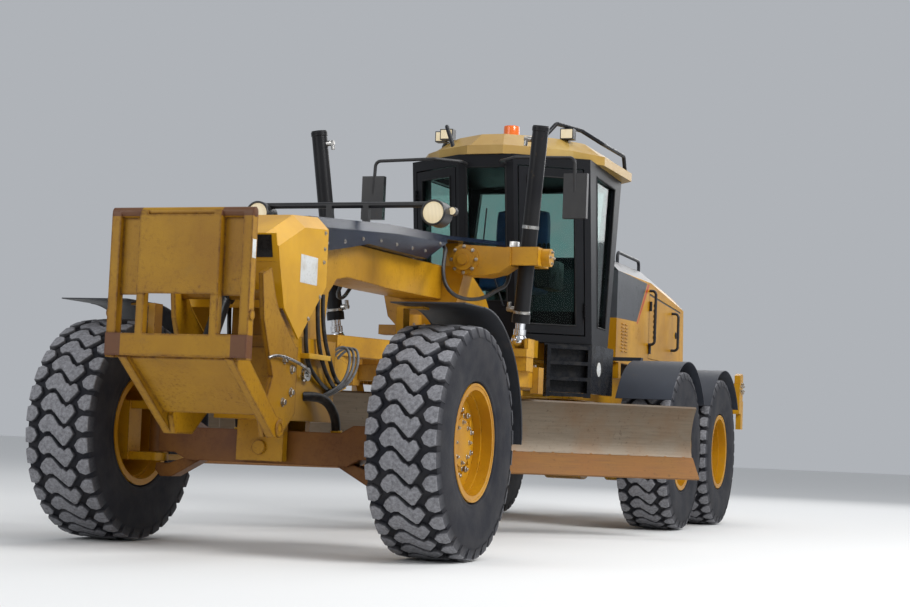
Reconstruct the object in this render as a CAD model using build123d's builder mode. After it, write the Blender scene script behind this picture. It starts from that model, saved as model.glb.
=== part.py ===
from build123d import *
from math import cos, radians, sin
import os

os.makedirs("parts", exist_ok=True)

# Motor grader, millimetres. +Z is up, the front of the machine looks along -Y and +X is its left side.
# The origin is on the ground under the middle of the machine, and stations are measured from the front axle.
SIDES = (("left", 1), ("right", -1))

# Running gear
FRONT_AXLE_Y = -3450
WHEELBASE = 6123
TANDEM_SPACING = 1523
FRONT_TRACK = 2150
REAR_TRACK = 2100
TYRE_RADIUS = 674
TYRE_WIDTH = 445
RIM_SEAT_RADIUS = 318
RIM_WIDTH = 390
RIM_FLANGE_HEIGHT = 21
RIM_WALL = 16
FRONT_DISC_OFFSET = 75
REAR_DISC_OFFSET = -62
WHEEL_DISC_THICKNESS = 22
HUB_RADIUS = 150
SPINDLE_RADIUS = 60
STUD_COUNT = 10
STUD_CIRCLE_RADIUS = 190
KINGPIN_X = 765
KINGPIN_RADIUS = 30
STEERING_ARM_LENGTH = 330

# Clearances
SEAT_GAP = 0.3
PIN_GAP = 0.4
MOVING_GAP = 6

# Frame and hitch
PIVOT_STATION = 4450
HITCH_BOTTOM = 1070
HITCH_TOP = 1400
HITCH_PLATE = 40
HITCH_PIN_RADIUS = 50
HITCH_EYE_RADIUS = 115
RAIL_HALF_WIDTH = 380
RAIL_THICKNESS = 70
RAIL_TOP = 1340
BEAM_HALF_WIDTH = 155
NOSE_HALF_WIDTH = 300
COVER_WALL = 12
REAR_END_STATION = 8060

# Drawbar, circle and blade
DRAWBAR_STATION = 640
DRAWBAR_PIN_HEIGHT = 1060
CIRCLE_STATION = 2685
CIRCLE_RADIUS = 765
CIRCLE_BORE_RADIUS = 640
CIRCLE_TOP = 1190
CIRCLE_DEPTH = 110
CIRCLE_TOOTH_COUNT = 64
CIRCLE_TOOTH_WIDTH = 40
CIRCLE_TOOTH_DEPTH = 30
CIRCLE_TOOTH_HEIGHT = 75
BLADE_ANGLE = 38
BLADE_LENGTH = 4267
BLADE_SHIFT_AT_REST = 70
MOLDBOARD_CURVE_RADIUS = 413
MOLDBOARD_THICKNESS = 22
TIP_PIN_FORWARD = -215
TIP_PIN_HEIGHT = 650
LIFT_TRUNNION = (766, 2392, 1995)
LIFT_EYE = (706, 2450, 1412)
LIFT_BARREL_RADIUS = 57
LIFT_ROD_RADIUS = 35
LIFT_BARREL_ABOVE = 940
LIFT_BARREL_BELOW = 465
LIFT_BALL_RADIUS = 55
LIFT_SEAT_DROP = 9
TIP_TRUNNION = (450, 985)
TIP_EYE = (145, 965)
TIP_BARREL_RADIUS = 42
TIP_PIVOT_RADIUS = 18
TIP_PIVOT_DRIFT = 7
SHIFT_CYLINDER = (62, 800)
SHIFT_BARREL_RADIUS = 42
SHIFT_ROD_RADIUS = 25
SHIFT_LUG_U = 930
SHIFT_ROD_LENGTH = 1270
FRONT_LIFT_PIN = (-700, 1450)
FRONT_LIFT_EYE = (-970, 1000)
FRONT_LIFT_DRIFT = 4

# Cab
CAB_FLOOR = 1490
CAB_TOP = 2950
CAB_WALL = 60
CAB_FRONT_STATION = 3800
CAB_REAR_STATION = 4750
CAB_LEAN = 220
CAB_REAR_RAKE = 400
DOOR_THICKNESS = 36
DOOR_CUT = 260
DOOR_CLEARANCE = 10
HINGE_ALONG = 580
HINGE_OUT = 16
HINGE_RADIUS = 11
HINGE_HEIGHTS = (1750, 2650)
GLASS_THICKNESS = 8

# Engine enclosure
HOOD_FRONT_STATION = 5450
HOOD_HALF_WIDTH = 610
HOOD_WALL = 40
HOOD_BOTTOM = 1420
HOOD_TOP = 2330
HOOD_SLOPE_STATION = 6640
HOOD_REAR_TOP = 2180
HOOD_REAR_TOP_STATION = 8000
HOOD_CHAMFER = 110
GRILLE_SLATS = 12
DOOR_FRONT_STATION = 6600
DOOR_REAR_STATION = 7880
DOOR_TOP = (2120, 2045)
DOOR_GAP = 5

rear_axle_y = FRONT_AXLE_Y + WHEELBASE
pivot_y = FRONT_AXLE_Y + PIVOT_STATION
circle_y = FRONT_AXLE_Y + CIRCLE_STATION
drawbar_y = FRONT_AXLE_Y + DRAWBAR_STATION
tandem_wheel_ys = (rear_axle_y - TANDEM_SPACING / 2, rear_axle_y + TANDEM_SPACING / 2)


def finish(part, name):
    """Label one piece and write it under the name of its node."""
    part.label = name
    export_step(part, f"parts/{name}.step")


def from_axle(*points):
    """Turn (station, height) pairs into points of a side view."""
    return [(FRONT_AXLE_Y + station, height) for station, height in points]


def slab(points, plane, amount, both=False, mode=Mode.ADD):
    """Extrude a closed straight-sided outline drawn on a plane."""
    with BuildSketch(plane) as outline:
        with BuildLine():
            Polyline(*points, close=True)
        make_face()
    extrude(outline.sketch, amount=amount, both=both, mode=mode)


def side_slab(points, x_from, x_to, mode=Mode.ADD):
    """Extrude a side-view outline from one x to another."""
    slab(from_axle(*points), Plane.YZ.offset(x_from), x_to - x_from, mode=mode)


def block(x, y, z, mode=Mode.ADD):
    """Add a straight box between pairs of x, y and z."""
    with Locations(((x[0] + x[1]) / 2, (y[0] + y[1]) / 2, (z[0] + z[1]) / 2)):
        Box(abs(x[1] - x[0]), abs(y[1] - y[0]), abs(z[1] - z[0]), mode=mode)


def rod(start, end, radius, mode=Mode.ADD):
    """Add a round bar between two points."""
    axis = Vector(*end) - Vector(*start)
    with BuildSketch(Plane(origin=start, z_dir=axis)) as section:
        Circle(radius)
    extrude(section.sketch, amount=axis.length, mode=mode)


def pipe(points, bend, radius):
    """Add a bent round bar through the given points."""
    with BuildLine(mode=Mode.PRIVATE) as route:
        FilletPolyline(*points, radius=bend)
    path = route.line
    with BuildSketch(Plane(origin=path @ 0, z_dir=path % 0)) as section:
        Circle(radius)
    sweep(section.sketch, path=path)


def arch(plane, centre, radius, thickness, start, end, amount):
    """Extrude a curved plate that runs round a centre from one angle to another."""
    with BuildSketch(plane) as band:
        with BuildLine():
            inner = CenterArc(centre, radius, start, end - start)
            outer = CenterArc(centre, radius + thickness, start, end - start)
            Line(inner @ 0, outer @ 0)
            Line(inner @ 1, outer @ 1)
        make_face()
    extrude(band.sketch, amount=amount)


# Wheels: one tyre and one rim for each side, then set down at the six hubs.
with BuildPart() as tyre:
    with BuildSketch():
        with BuildLine():
            bead = RIM_WIDTH / 2 - RIM_WALL
            shoulder = TYRE_WIDTH / 2 - 14
            bead_top = RIM_SEAT_RADIUS + RIM_FLANGE_HEIGHT + 4
            Polyline((-bead, bead_top), (-bead, RIM_SEAT_RADIUS), (bead, RIM_SEAT_RADIUS), (bead, bead_top))
            ThreePointArc((bead, bead_top), (TYRE_WIDTH / 2, 490), (shoulder, TYRE_RADIUS - 40))
            Line((shoulder, TYRE_RADIUS - 40), (shoulder - 22, TYRE_RADIUS - 14))
            ThreePointArc((shoulder - 22, TYRE_RADIUS - 14), (0, TYRE_RADIUS), (22 - shoulder, TYRE_RADIUS - 14))
            Line((22 - shoulder, TYRE_RADIUS - 14), (-shoulder, TYRE_RADIUS - 40))
            ThreePointArc((-shoulder, TYRE_RADIUS - 40), (-TYRE_WIDTH / 2, 490), (-bead, bead_top))
        make_face()
    revolve(axis=Axis.X)

rims = {}
for axle, disc_offset in (("front", FRONT_DISC_OFFSET), ("tandem", REAR_DISC_OFFSET)):
    for side, sign in SIDES:
        with BuildPart() as rim:
            rim_radius = RIM_SEAT_RADIUS - SEAT_GAP
            rim_edge = RIM_WIDTH / 2
            disc = sign * disc_offset
            with BuildSketch():
                with Locations((0, rim_radius - RIM_WALL / 2)):
                    Rectangle(RIM_WIDTH, RIM_WALL)
                with Locations((0, rim_radius - RIM_WALL - 8)):
                    Rectangle(RIM_WIDTH - 130, 20)
                for end in (-1, 1):
                    flange_middle = rim_radius - RIM_WALL / 2 + RIM_FLANGE_HEIGHT / 2
                    with Locations((end * (rim_edge - RIM_WALL / 2 + SEAT_GAP), flange_middle)):
                        Rectangle(RIM_WALL - SEAT_GAP, RIM_WALL + RIM_FLANGE_HEIGHT)
            revolve(axis=Axis.X)
            with BuildSketch(Plane.YZ.offset(disc - WHEEL_DISC_THICKNESS / 2)):
                Circle(rim_radius - RIM_WALL)
            extrude(amount=WHEEL_DISC_THICKNESS)
            with BuildSketch(Plane.YZ.offset(disc)):
                Circle(HUB_RADIUS)
            extrude(amount=-sign * 85)
            with BuildSketch(Plane.YZ.offset(disc)):
                Circle(HUB_RADIUS - 10)
            extrude(amount=sign * 45)
            with BuildSketch(Plane.YZ.offset(disc + sign * WHEEL_DISC_THICKNESS / 2)):
                with PolarLocations(STUD_CIRCLE_RADIUS, STUD_COUNT):
                    RegularPolygon(17, 6)
            extrude(amount=sign * 24)
            with BuildSketch(Plane.YZ.offset(disc - sign * 90)):
                Circle(SPINDLE_RADIUS + PIN_GAP)
            extrude(amount=sign * 115, mode=Mode.SUBTRACT)
        rims[axle, side] = rim.part

wheel_hubs = {}
for side, sign in SIDES:
    wheel_hubs[f"front_{side}"] = (side, sign * FRONT_TRACK / 2, FRONT_AXLE_Y)
    wheel_hubs[f"mid_{side}"] = (side, sign * REAR_TRACK / 2, tandem_wheel_ys[0])
    wheel_hubs[f"rear_{side}"] = (side, sign * REAR_TRACK / 2, tandem_wheel_ys[1])
for corner, (side, x, y) in wheel_hubs.items():
    hub = Location((x, y, TYRE_RADIUS))
    finish(tyre.part.moved(hub), f"tyre_{corner}")
    axle = "front" if corner.startswith("front") else "tandem"
    finish(rims[axle, side].moved(hub), f"rim_{corner}")

# Rear frame: two rails, cross members, the hitch plates with the articulation pin, and at the back the bumper
# across both tandems with its end uprights and tow hitch.
with BuildPart() as rear_frame:
    rail_front = pivot_y + 420
    rail_rear = FRONT_AXLE_Y + REAR_END_STATION - 180
    for sign in (-1, 1):
        block((sign * (RAIL_HALF_WIDTH - RAIL_THICKNESS), sign * RAIL_HALF_WIDTH),
              (rail_front, rail_rear), (HITCH_BOTTOM, RAIL_TOP))
    for cross_y in (rail_front + 60, rear_axle_y + 420, rail_rear - 60):
        block((-RAIL_HALF_WIDTH, RAIL_HALF_WIDTH), (cross_y - 60, cross_y + 60), (HITCH_BOTTOM, RAIL_TOP))
    for plate_bottom in (HITCH_BOTTOM, HITCH_TOP - HITCH_PLATE):
        with BuildSketch(Plane.XY.offset(plate_bottom)):
            with Locations((0, pivot_y)):
                Circle(HITCH_EYE_RADIUS)
            with BuildLine():
                Polyline((-HITCH_EYE_RADIUS, pivot_y), (HITCH_EYE_RADIUS, pivot_y),
                         (RAIL_HALF_WIDTH, rail_front + 120), (-RAIL_HALF_WIDTH, rail_front + 120), close=True)
            make_face()
        extrude(amount=HITCH_PLATE)
    block((-RAIL_HALF_WIDTH, RAIL_HALF_WIDTH), (rail_front, rail_front + 120), (RAIL_TOP, HITCH_TOP))
    rod((0, pivot_y, HITCH_BOTTOM - 20), (0, pivot_y, HITCH_TOP + 20), HITCH_PIN_RADIUS)
    block((-1230, 1230), (rail_rear - 10, rail_rear + 150), (1050, 1350))
    for sign in (-1, 1):
        side_slab([(7900, 1180), (8030, 1180), (8030, 1430), (7980, 1450), (7900, 1430)], sign * 1170, sign * 1230)
        side_slab([(7960, 900), (8060, 900), (8060, 1180), (7960, 1180)], sign * 1180, sign * 1230)
    block((-160, 160), (rail_rear + 100, rail_rear + 150), (760, 1100))
    for plate_z in (800, 900):
        block((-90, 90), (rail_rear + 140, rail_rear + 290), (plate_z, plate_z + 35))
    rod((0, rail_rear + 235, 790), (0, rail_rear + 235, 945), 26, mode=Mode.SUBTRACT)
finish(rear_frame.part, "rear_frame")

# Rear axle housing between the tandem cases, with its seats under the rails.
case_inner_x = REAR_TRACK / 2 - 450
case_outer_x = REAR_TRACK / 2 - 260
with BuildPart() as rear_axle:
    half_length = case_inner_x - SEAT_GAP
    rod((-half_length, rear_axle_y, TYRE_RADIUS), (half_length, rear_axle_y, TYRE_RADIUS), 135)
    rod((-170, rear_axle_y, TYRE_RADIUS), (170, rear_axle_y, TYRE_RADIUS), 300)
    for sign in (-1, 1):
        rod((sign * (half_length - 60), rear_axle_y, TYRE_RADIUS), (sign * half_length, rear_axle_y, TYRE_RADIUS), 235)
        block((sign * 290, sign * 400), (rear_axle_y - 150, rear_axle_y + 150), (TYRE_RADIUS, HITCH_BOTTOM - SEAT_GAP))

with BuildPart() as tandem_cases:
    for sign in (-1, 1):
        with BuildSketch(Plane.YZ.offset(sign * case_inner_x)):
            with Locations((rear_axle_y, TYRE_RADIUS)):
                SlotCenterToCenter(TANDEM_SPACING, 560)
        extrude(amount=sign * (case_outer_x - case_inner_x))
        for wheel_y in tandem_wheel_ys:
            rod((sign * case_outer_x, wheel_y, TYRE_RADIUS),
                (sign * (REAR_TRACK / 2 + REAR_DISC_OFFSET + 20), wheel_y, TYRE_RADIUS), SPINDLE_RADIUS)
            rod((sign * case_outer_x, wheel_y, TYRE_RADIUS), (sign * (case_outer_x + 60), wheel_y, TYRE_RADIUS), 130)
with BuildPart() as tandem_drive:
    add(rear_axle.part)
    add(tandem_cases.part)
finish(tandem_drive.part, "tandem_drive")

with BuildPart() as engine_block:
    block((-380, 380), (FRONT_AXLE_Y + 5850, FRONT_AXLE_Y + 7450), (RAIL_TOP + SEAT_GAP, 1990))
finish(engine_block.part, "engine_block")

# Engine enclosure: a hollow cover with a sloping back, open where the side doors and the rear grille close it.
hood_side = ((HOOD_FRONT_STATION, HOOD_BOTTOM), (HOOD_FRONT_STATION, HOOD_TOP), (HOOD_SLOPE_STATION, HOOD_TOP),
             (HOOD_REAR_TOP_STATION, HOOD_REAR_TOP), (REAR_END_STATION, HOOD_BOTTOM))
grille_half_width = 430
grille_bottom = 1560
grille_top = 2000
with BuildPart() as engine_hood:
    side_slab(hood_side, -HOOD_HALF_WIDTH, HOOD_HALF_WIDTH)
    roof_edges = engine_hood.edges().filter_by(lambda e: e.length > 500 and e.center().Z > 2150)
    side_edges = [e for e in roof_edges if abs(abs(e.center().X) - HOOD_HALF_WIDTH) < 1]
    chamfer(side_edges, length=HOOD_CHAMFER)
    hollow_drop = HOOD_CHAMFER + 20
    hollow = [(HOOD_FRONT_STATION + HOOD_WALL, HOOD_BOTTOM - 10),
              (HOOD_FRONT_STATION + HOOD_WALL, HOOD_TOP - hollow_drop),
              (HOOD_SLOPE_STATION, HOOD_TOP - hollow_drop),
              (HOOD_REAR_TOP_STATION - HOOD_WALL, HOOD_REAR_TOP - hollow_drop),
              (REAR_END_STATION - HOOD_WALL, HOOD_BOTTOM - 10)]
    side_slab(hollow, HOOD_WALL - HOOD_HALF_WIDTH, HOOD_HALF_WIDTH - HOOD_WALL, mode=Mode.SUBTRACT)
    door_bottom = HOOD_BOTTOM + 90
    door_top_front, door_top_rear = DOOR_TOP
    opening = [(DOOR_FRONT_STATION, door_bottom), (DOOR_FRONT_STATION, door_top_front),
               (DOOR_REAR_STATION, door_top_rear), (DOOR_REAR_STATION, door_bottom)]
    side_slab(opening, -HOOD_HALF_WIDTH - 5, HOOD_HALF_WIDTH + 5, mode=Mode.SUBTRACT)
    block((-grille_half_width, grille_half_width), (FRONT_AXLE_Y + 7900, FRONT_AXLE_Y + 8200),
          (grille_bottom, grille_top), mode=Mode.SUBTRACT)
    for sign in (-1, 1):
        block((sign * (RAIL_HALF_WIDTH + SEAT_GAP), sign * HOOD_HALF_WIDTH),
              (FRONT_AXLE_Y + 5560, FRONT_AXLE_Y + 5640), (RAIL_TOP - 60, HOOD_BOTTOM))
        block((sign * (RAIL_HALF_WIDTH + SEAT_GAP), sign * HOOD_HALF_WIDTH),
              (FRONT_AXLE_Y + 7700, FRONT_AXLE_Y + 7780), (RAIL_TOP - 60, HOOD_BOTTOM))
        pipe([(sign * 490, FRONT_AXLE_Y + 5850, HOOD_TOP - 30), (sign * 490, FRONT_AXLE_Y + 5850, HOOD_TOP + 98),
              (sign * 490, FRONT_AXLE_Y + 6620, HOOD_TOP + 92), (sign * 490, FRONT_AXLE_Y + 6620, HOOD_TOP - 30)],
             50, 15)
        pipe([(sign * (HOOD_HALF_WIDTH - 20), FRONT_AXLE_Y + 6560, 1640),
              (sign * (HOOD_HALF_WIDTH + 70), FRONT_AXLE_Y + 6560, 1640),
              (sign * (HOOD_HALF_WIDTH + 70), FRONT_AXLE_Y + 6560, 2140),
              (sign * (HOOD_HALF_WIDTH - 20), FRONT_AXLE_Y + 6560, 2140)], 35, 13)
finish(engine_hood.part, "engine_hood")

with BuildPart() as rear_grille:
    grille_side = [(8040, grille_bottom + SEAT_GAP), (8000, grille_bottom + SEAT_GAP),
                   (7965, grille_top - SEAT_GAP), (8005, grille_top - SEAT_GAP)]
    side_slab(grille_side, SEAT_GAP - grille_half_width, grille_half_width - SEAT_GAP)
    for opening_x in (-208, 208):
        block((opening_x - 185, opening_x + 185), (FRONT_AXLE_Y + 7900, FRONT_AXLE_Y + 8100),
              (grille_bottom + 35, grille_top - 35), mode=Mode.SUBTRACT)
    for slat in range(GRILLE_SLATS):
        slat_z = grille_bottom + 45 + slat * (grille_top - grille_bottom - 90) / (GRILLE_SLATS - 1)
        slat_station = 8020 - 35 * (slat_z - grille_bottom) / (grille_top - grille_bottom)
        side_slab([(slat_station - 12, slat_z - 10), (slat_station - 9, slat_z - 14),
                   (slat_station + 12, slat_z + 10), (slat_station + 9, slat_z + 14)], -400, 400)
finish(rear_grille.part, "rear_grille")

for side, sign in SIDES:
    with BuildPart() as engine_door:
        leaf = [(DOOR_FRONT_STATION + DOOR_GAP, door_bottom + DOOR_GAP),
                (DOOR_FRONT_STATION + DOOR_GAP, door_top_front - DOOR_GAP - 2),
                (DOOR_REAR_STATION - DOOR_GAP, door_top_rear - DOOR_GAP),
                (DOOR_REAR_STATION - DOOR_GAP, door_bottom + DOOR_GAP)]
        side_slab(leaf, sign * (HOOD_HALF_WIDTH - HOOD_WALL), sign * HOOD_HALF_WIDTH)
        handle_x = sign * (HOOD_HALF_WIDTH - 10)
        reach = sign * (HOOD_HALF_WIDTH + 70)
        handle_y = FRONT_AXLE_Y + 7500
        pipe([(handle_x, handle_y, 1640), (reach, handle_y, 1640), (reach, handle_y, 2000),
              (handle_x, handle_y, 2000)], 35, 13)
        for hinge_z in (door_bottom + 90, door_top_front - 120):
            rod((sign * (HOOD_HALF_WIDTH + 12), FRONT_AXLE_Y + DOOR_FRONT_STATION + 8, hinge_z - 45),
                (sign * (HOOD_HALF_WIDTH + 12), FRONT_AXLE_Y + DOOR_FRONT_STATION + 8, hinge_z + 45), 14)
    finish(engine_door.part, f"engine_door_{side}")

with BuildPart() as exhaust_stack:
    stack_y = FRONT_AXLE_Y + 5750
    rod((-330, stack_y, HOOD_TOP + SEAT_GAP), (-330, stack_y, 2960), 62)
    rod((-330, stack_y, HOOD_TOP + SEAT_GAP), (-330, stack_y, HOOD_TOP + 60), 95)
    pipe([(-330, stack_y, 2950), (-330, stack_y, 3120), (-330, stack_y + 150, 3190)], 70, 50)
finish(exhaust_stack.part, "exhaust_stack")

with BuildPart() as rear_fenders:
    fender_radius = TYRE_RADIUS + 74
    for sign in (-1, 1):
        for wheel_y in tandem_wheel_ys:
            arch(Plane.YZ.offset(sign * 815), (wheel_y, TYRE_RADIUS), fender_radius, 7, 33, 147, sign * 475)
        for wheel_y in tandem_wheel_ys:
            block((sign * (HOOD_HALF_WIDTH + SEAT_GAP), sign * 870), (wheel_y - 40, wheel_y + 40),
                  (TYRE_RADIUS + fender_radius + 2, TYRE_RADIUS + fender_radius + 32))
finish(rear_fenders.part, "rear_fenders")

# Front frame: the arched beam from the nose to the hitch, with the bolster over the front axle.
with BuildPart() as front_frame:
    beam = [(-300, 1080), (-300, 1640), (100, 1780), (450, 1840), (760, 1900), (1200, 1905), (2900, 1940),
            (3250, 1800), (3700, 1400), (4380, 1354), (4380, 1116), (3950, 1116), (3700, 1240), (3300, 1560),
            (2500, 1690), (1320, 1672), (640, 1680), (470, 1650), (360, 1560), (330, 1400), (330, 1080)]
    side_slab(beam, -BEAM_HALF_WIDTH, BEAM_HALF_WIDTH)
    side_slab([(-330, 760), (-330, 1250), (330, 1250), (330, 760)], -230, 230)
    for y_sign in (-1, 1):
        block((-150, 150), (FRONT_AXLE_Y + y_sign * 120, FRONT_AXLE_Y + y_sign * 180), (520, 780))
    rod((0, FRONT_AXLE_Y - 200, 600), (0, FRONT_AXLE_Y + 200, 600), 42)
    bulkhead = NOSE_HALF_WIDTH - COVER_WALL - SEAT_GAP
    block((-bulkhead, bulkhead), (FRONT_AXLE_Y - 160, FRONT_AXLE_Y - 130), (1460, 1780))
    block((-150, 150), (FRONT_AXLE_Y + 3420, FRONT_AXLE_Y + 4340), (1300, 1354))
    with BuildSketch(Plane.XY.offset(HITCH_BOTTOM + HITCH_PLATE + MOVING_GAP)):
        with Locations((0, pivot_y)):
            Circle(HITCH_EYE_RADIUS - 5)
        with BuildLine():
            Polyline((-110, pivot_y), (110, pivot_y), (BEAM_HALF_WIDTH, pivot_y - 200),
                     (-BEAM_HALF_WIDTH, pivot_y - 200), close=True)
        make_face()
    extrude(amount=HITCH_TOP - HITCH_BOTTOM - 2 * HITCH_PLATE - 2 * MOVING_GAP)
    rod((0, pivot_y, HITCH_BOTTOM), (0, pivot_y, HITCH_TOP), HITCH_PIN_RADIUS + PIN_GAP, mode=Mode.SUBTRACT)
    for station in (3760, 4180):
        block((-420, 420), (FRONT_AXLE_Y + station - 50, FRONT_AXLE_Y + station + 50), (1354, CAB_FLOOR - SEAT_GAP))
    for sign in (-1, 1):
        side_slab([(320, 900), (700, 980), (700, 1140), (320, 1220)], sign * 95, sign * 150)
    rod((-150, drawbar_y, DRAWBAR_PIN_HEIGHT), (150, drawbar_y, DRAWBAR_PIN_HEIGHT), 32)
    side_slab([(2860, 1900), (2880, 2158), (2980, 2166), (3040, 1850)], -60, 60)
finish(front_frame.part, "front_frame")

with BuildPart() as nose_cover:
    cover = [(-680, 1800), (-350, 1945), (0, 1975), (0, 1560), (-350, 1225), (-560, 1390), (-640, 1640)]
    side_slab(cover, -NOSE_HALF_WIDTH, NOSE_HALF_WIDTH)
    top_edges = [e for e in nose_cover.edges() if abs(abs(e.center().X) - NOSE_HALF_WIDTH) < 1
                 and e.center().Z > 1850 and abs(e.tangent_at(0).Y) > 0.5]
    chamfer(top_edges, length=75)
    inside = [(-668, 1720), (-350, 1860), (5, 1885), (5, 1540), (-350, 1205), (-548, 1365), (-625, 1600)]
    side_slab(inside, COVER_WALL - NOSE_HALF_WIDTH, NOSE_HALF_WIDTH - COVER_WALL, mode=Mode.SUBTRACT)
finish(nose_cover.part, "nose_cover")

HOOD_COVER_HALF_WIDTH = 240
HOOD_COVER_FACET = 65
cover_top = ((SEAT_GAP, 1985), (1230, 2092), (2350, 2150), (3560, 2250))
with BuildPart() as hood_cover:
    side_slab([(SEAT_GAP, 1790), *cover_top, (3560, 2215), (2250, 2112), (1780, 1922), (1200, 1910), (755, 1905),
               (445, 1845), (95, 1785)], -HOOD_COVER_HALF_WIDTH, HOOD_COVER_HALF_WIDTH)
    for (station, height), (next_station, next_height) in zip(cover_top, cover_top[1:]):
        run = Vector(0, next_station - station, next_height - height)
        start = Vector(0, FRONT_AXLE_Y + station, height) - run.normalized() * 5
        for sign in (-1, 1):
            facet = Plane(origin=start, x_dir=(sign, 0, 0), z_dir=run)
            rise = sign * -1
            slab([(HOOD_COVER_HALF_WIDTH - HOOD_COVER_FACET - 2, rise * 2), (HOOD_COVER_HALF_WIDTH + 2, rise * 2),
                  (HOOD_COVER_HALF_WIDTH + 2, -rise * (HOOD_COVER_FACET + 2))], facet, run.length + 10,
                 mode=Mode.SUBTRACT)
finish(hood_cover.part, "hood_cover")

# Saddle clamped round the beam, with the arms that carry the two lift cylinders.
saddle_y = FRONT_AXLE_Y + LIFT_TRUNNION[1]
with BuildPart() as saddle:
    cheek = BEAM_HALF_WIDTH + SEAT_GAP
    with BuildSketch(Plane.XZ.offset(-(saddle_y + 90))):
        for x_sign in (-1, 1):
            with BuildLine():
                Polyline((0, 1480), (x_sign * 170, 1480), (x_sign * 250, 1560), (x_sign * 330, 1900),
                         (x_sign * 330, 2070), (x_sign * 250, 2070), (x_sign * 250, 1925), (x_sign * cheek, 1925),
                         (x_sign * cheek, 1686), (0, 1686), close=True)
            make_face()
    extrude(amount=180)
    block((-330, 330), (saddle_y - 60, saddle_y + 60), (1430, 1500))

yoke_gap = LIFT_BARREL_RADIUS + 22
hub_x, hub_z = 345, 1965
arm_front_y = saddle_y - 90 - SEAT_GAP
with BuildPart() as lift_arms:
    trunnion_x, _, trunnion_z = LIFT_TRUNNION
    yoke_inner, yoke_outer = trunnion_x - yoke_gap, trunnion_x + yoke_gap
    for sign in (-1, 1):
        arm = [(hub_x, 2073), (yoke_inner, 2052), (yoke_inner, 1925), (610, 1875), (500, 1850), (hub_x, 1857)]
        slab([(sign * x, z) for x, z in arm], Plane.XZ.offset(-arm_front_y), 60)
        slab([(sign * x, z) for x, z in arm], Plane.XZ.offset(-(saddle_y + 45)), 150)
        for reach, radius in ((75, 108), (90, 78), (105, 40)):
            rod((sign * hub_x, arm_front_y, hub_z), (sign * hub_x, arm_front_y - reach, hub_z), radius)
        for cheek_x in (yoke_inner - 40, yoke_outer):
            block((sign * cheek_x, sign * (cheek_x + 40)), (saddle_y - 130, saddle_y + 130), (1930, 2060))
        for y_sign in (-1, 1):
            block((sign * (yoke_inner - 40), sign * (yoke_outer + 40)),
                  (saddle_y + y_sign * 95, saddle_y + y_sign * 130), (1930, 2060))
        rod((sign * (yoke_outer + 30), saddle_y, trunnion_z), (sign * (yoke_outer + 100), saddle_y, trunnion_z), 64)
        rod((sign * (yoke_inner - 40), saddle_y, trunnion_z), (sign * (yoke_outer + 40), saddle_y, trunnion_z),
            26 + PIN_GAP, mode=Mode.SUBTRACT)
with BuildPart() as lift_saddle:
    add(saddle.part)
    add(lift_arms.part)
finish(lift_saddle.part, "lift_saddle")

# Lift cylinders: each barrel swings on its trunnion pins and each rod slides to its eye on the drawbar.
for side, sign in SIDES:
    trunnion = Vector(sign * LIFT_TRUNNION[0], saddle_y, LIFT_TRUNNION[2])
    eye = Vector(sign * LIFT_EYE[0], FRONT_AXLE_Y + LIFT_EYE[1], LIFT_EYE[2])
    along = (trunnion - eye).normalized()
    with BuildPart() as lift_barrel:
        top = trunnion + along * LIFT_BARREL_ABOVE
        gland = trunnion - along * LIFT_BARREL_BELOW
        rod(tuple(gland), tuple(top), LIFT_BARREL_RADIUS)
        rod(tuple(trunnion - Vector(yoke_gap + 38, 0, 0)), tuple(trunnion + Vector(yoke_gap + 38, 0, 0)), 26)
        rod(tuple(trunnion - along * 45), tuple(trunnion + along * 45), LIFT_BARREL_RADIUS + 12)
        rod(tuple(gland), tuple(gland + along * 60), LIFT_BARREL_RADIUS + 8)
        rod(tuple(gland), tuple(top - along * 40), LIFT_ROD_RADIUS + PIN_GAP, mode=Mode.SUBTRACT)
    finish(lift_barrel.part, f"lift_barrel_{side}")
    with BuildPart() as lift_rod:
        rod(tuple(eye), tuple(eye + along * 1350), LIFT_ROD_RADIUS)
        rod(tuple(eye + along * 38), tuple(eye + along * 78), LIFT_ROD_RADIUS + 10)
        with Locations(tuple(eye)):
            Sphere(LIFT_BALL_RADIUS)
    finish(lift_rod.part, f"lift_rod_{side}")

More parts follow.
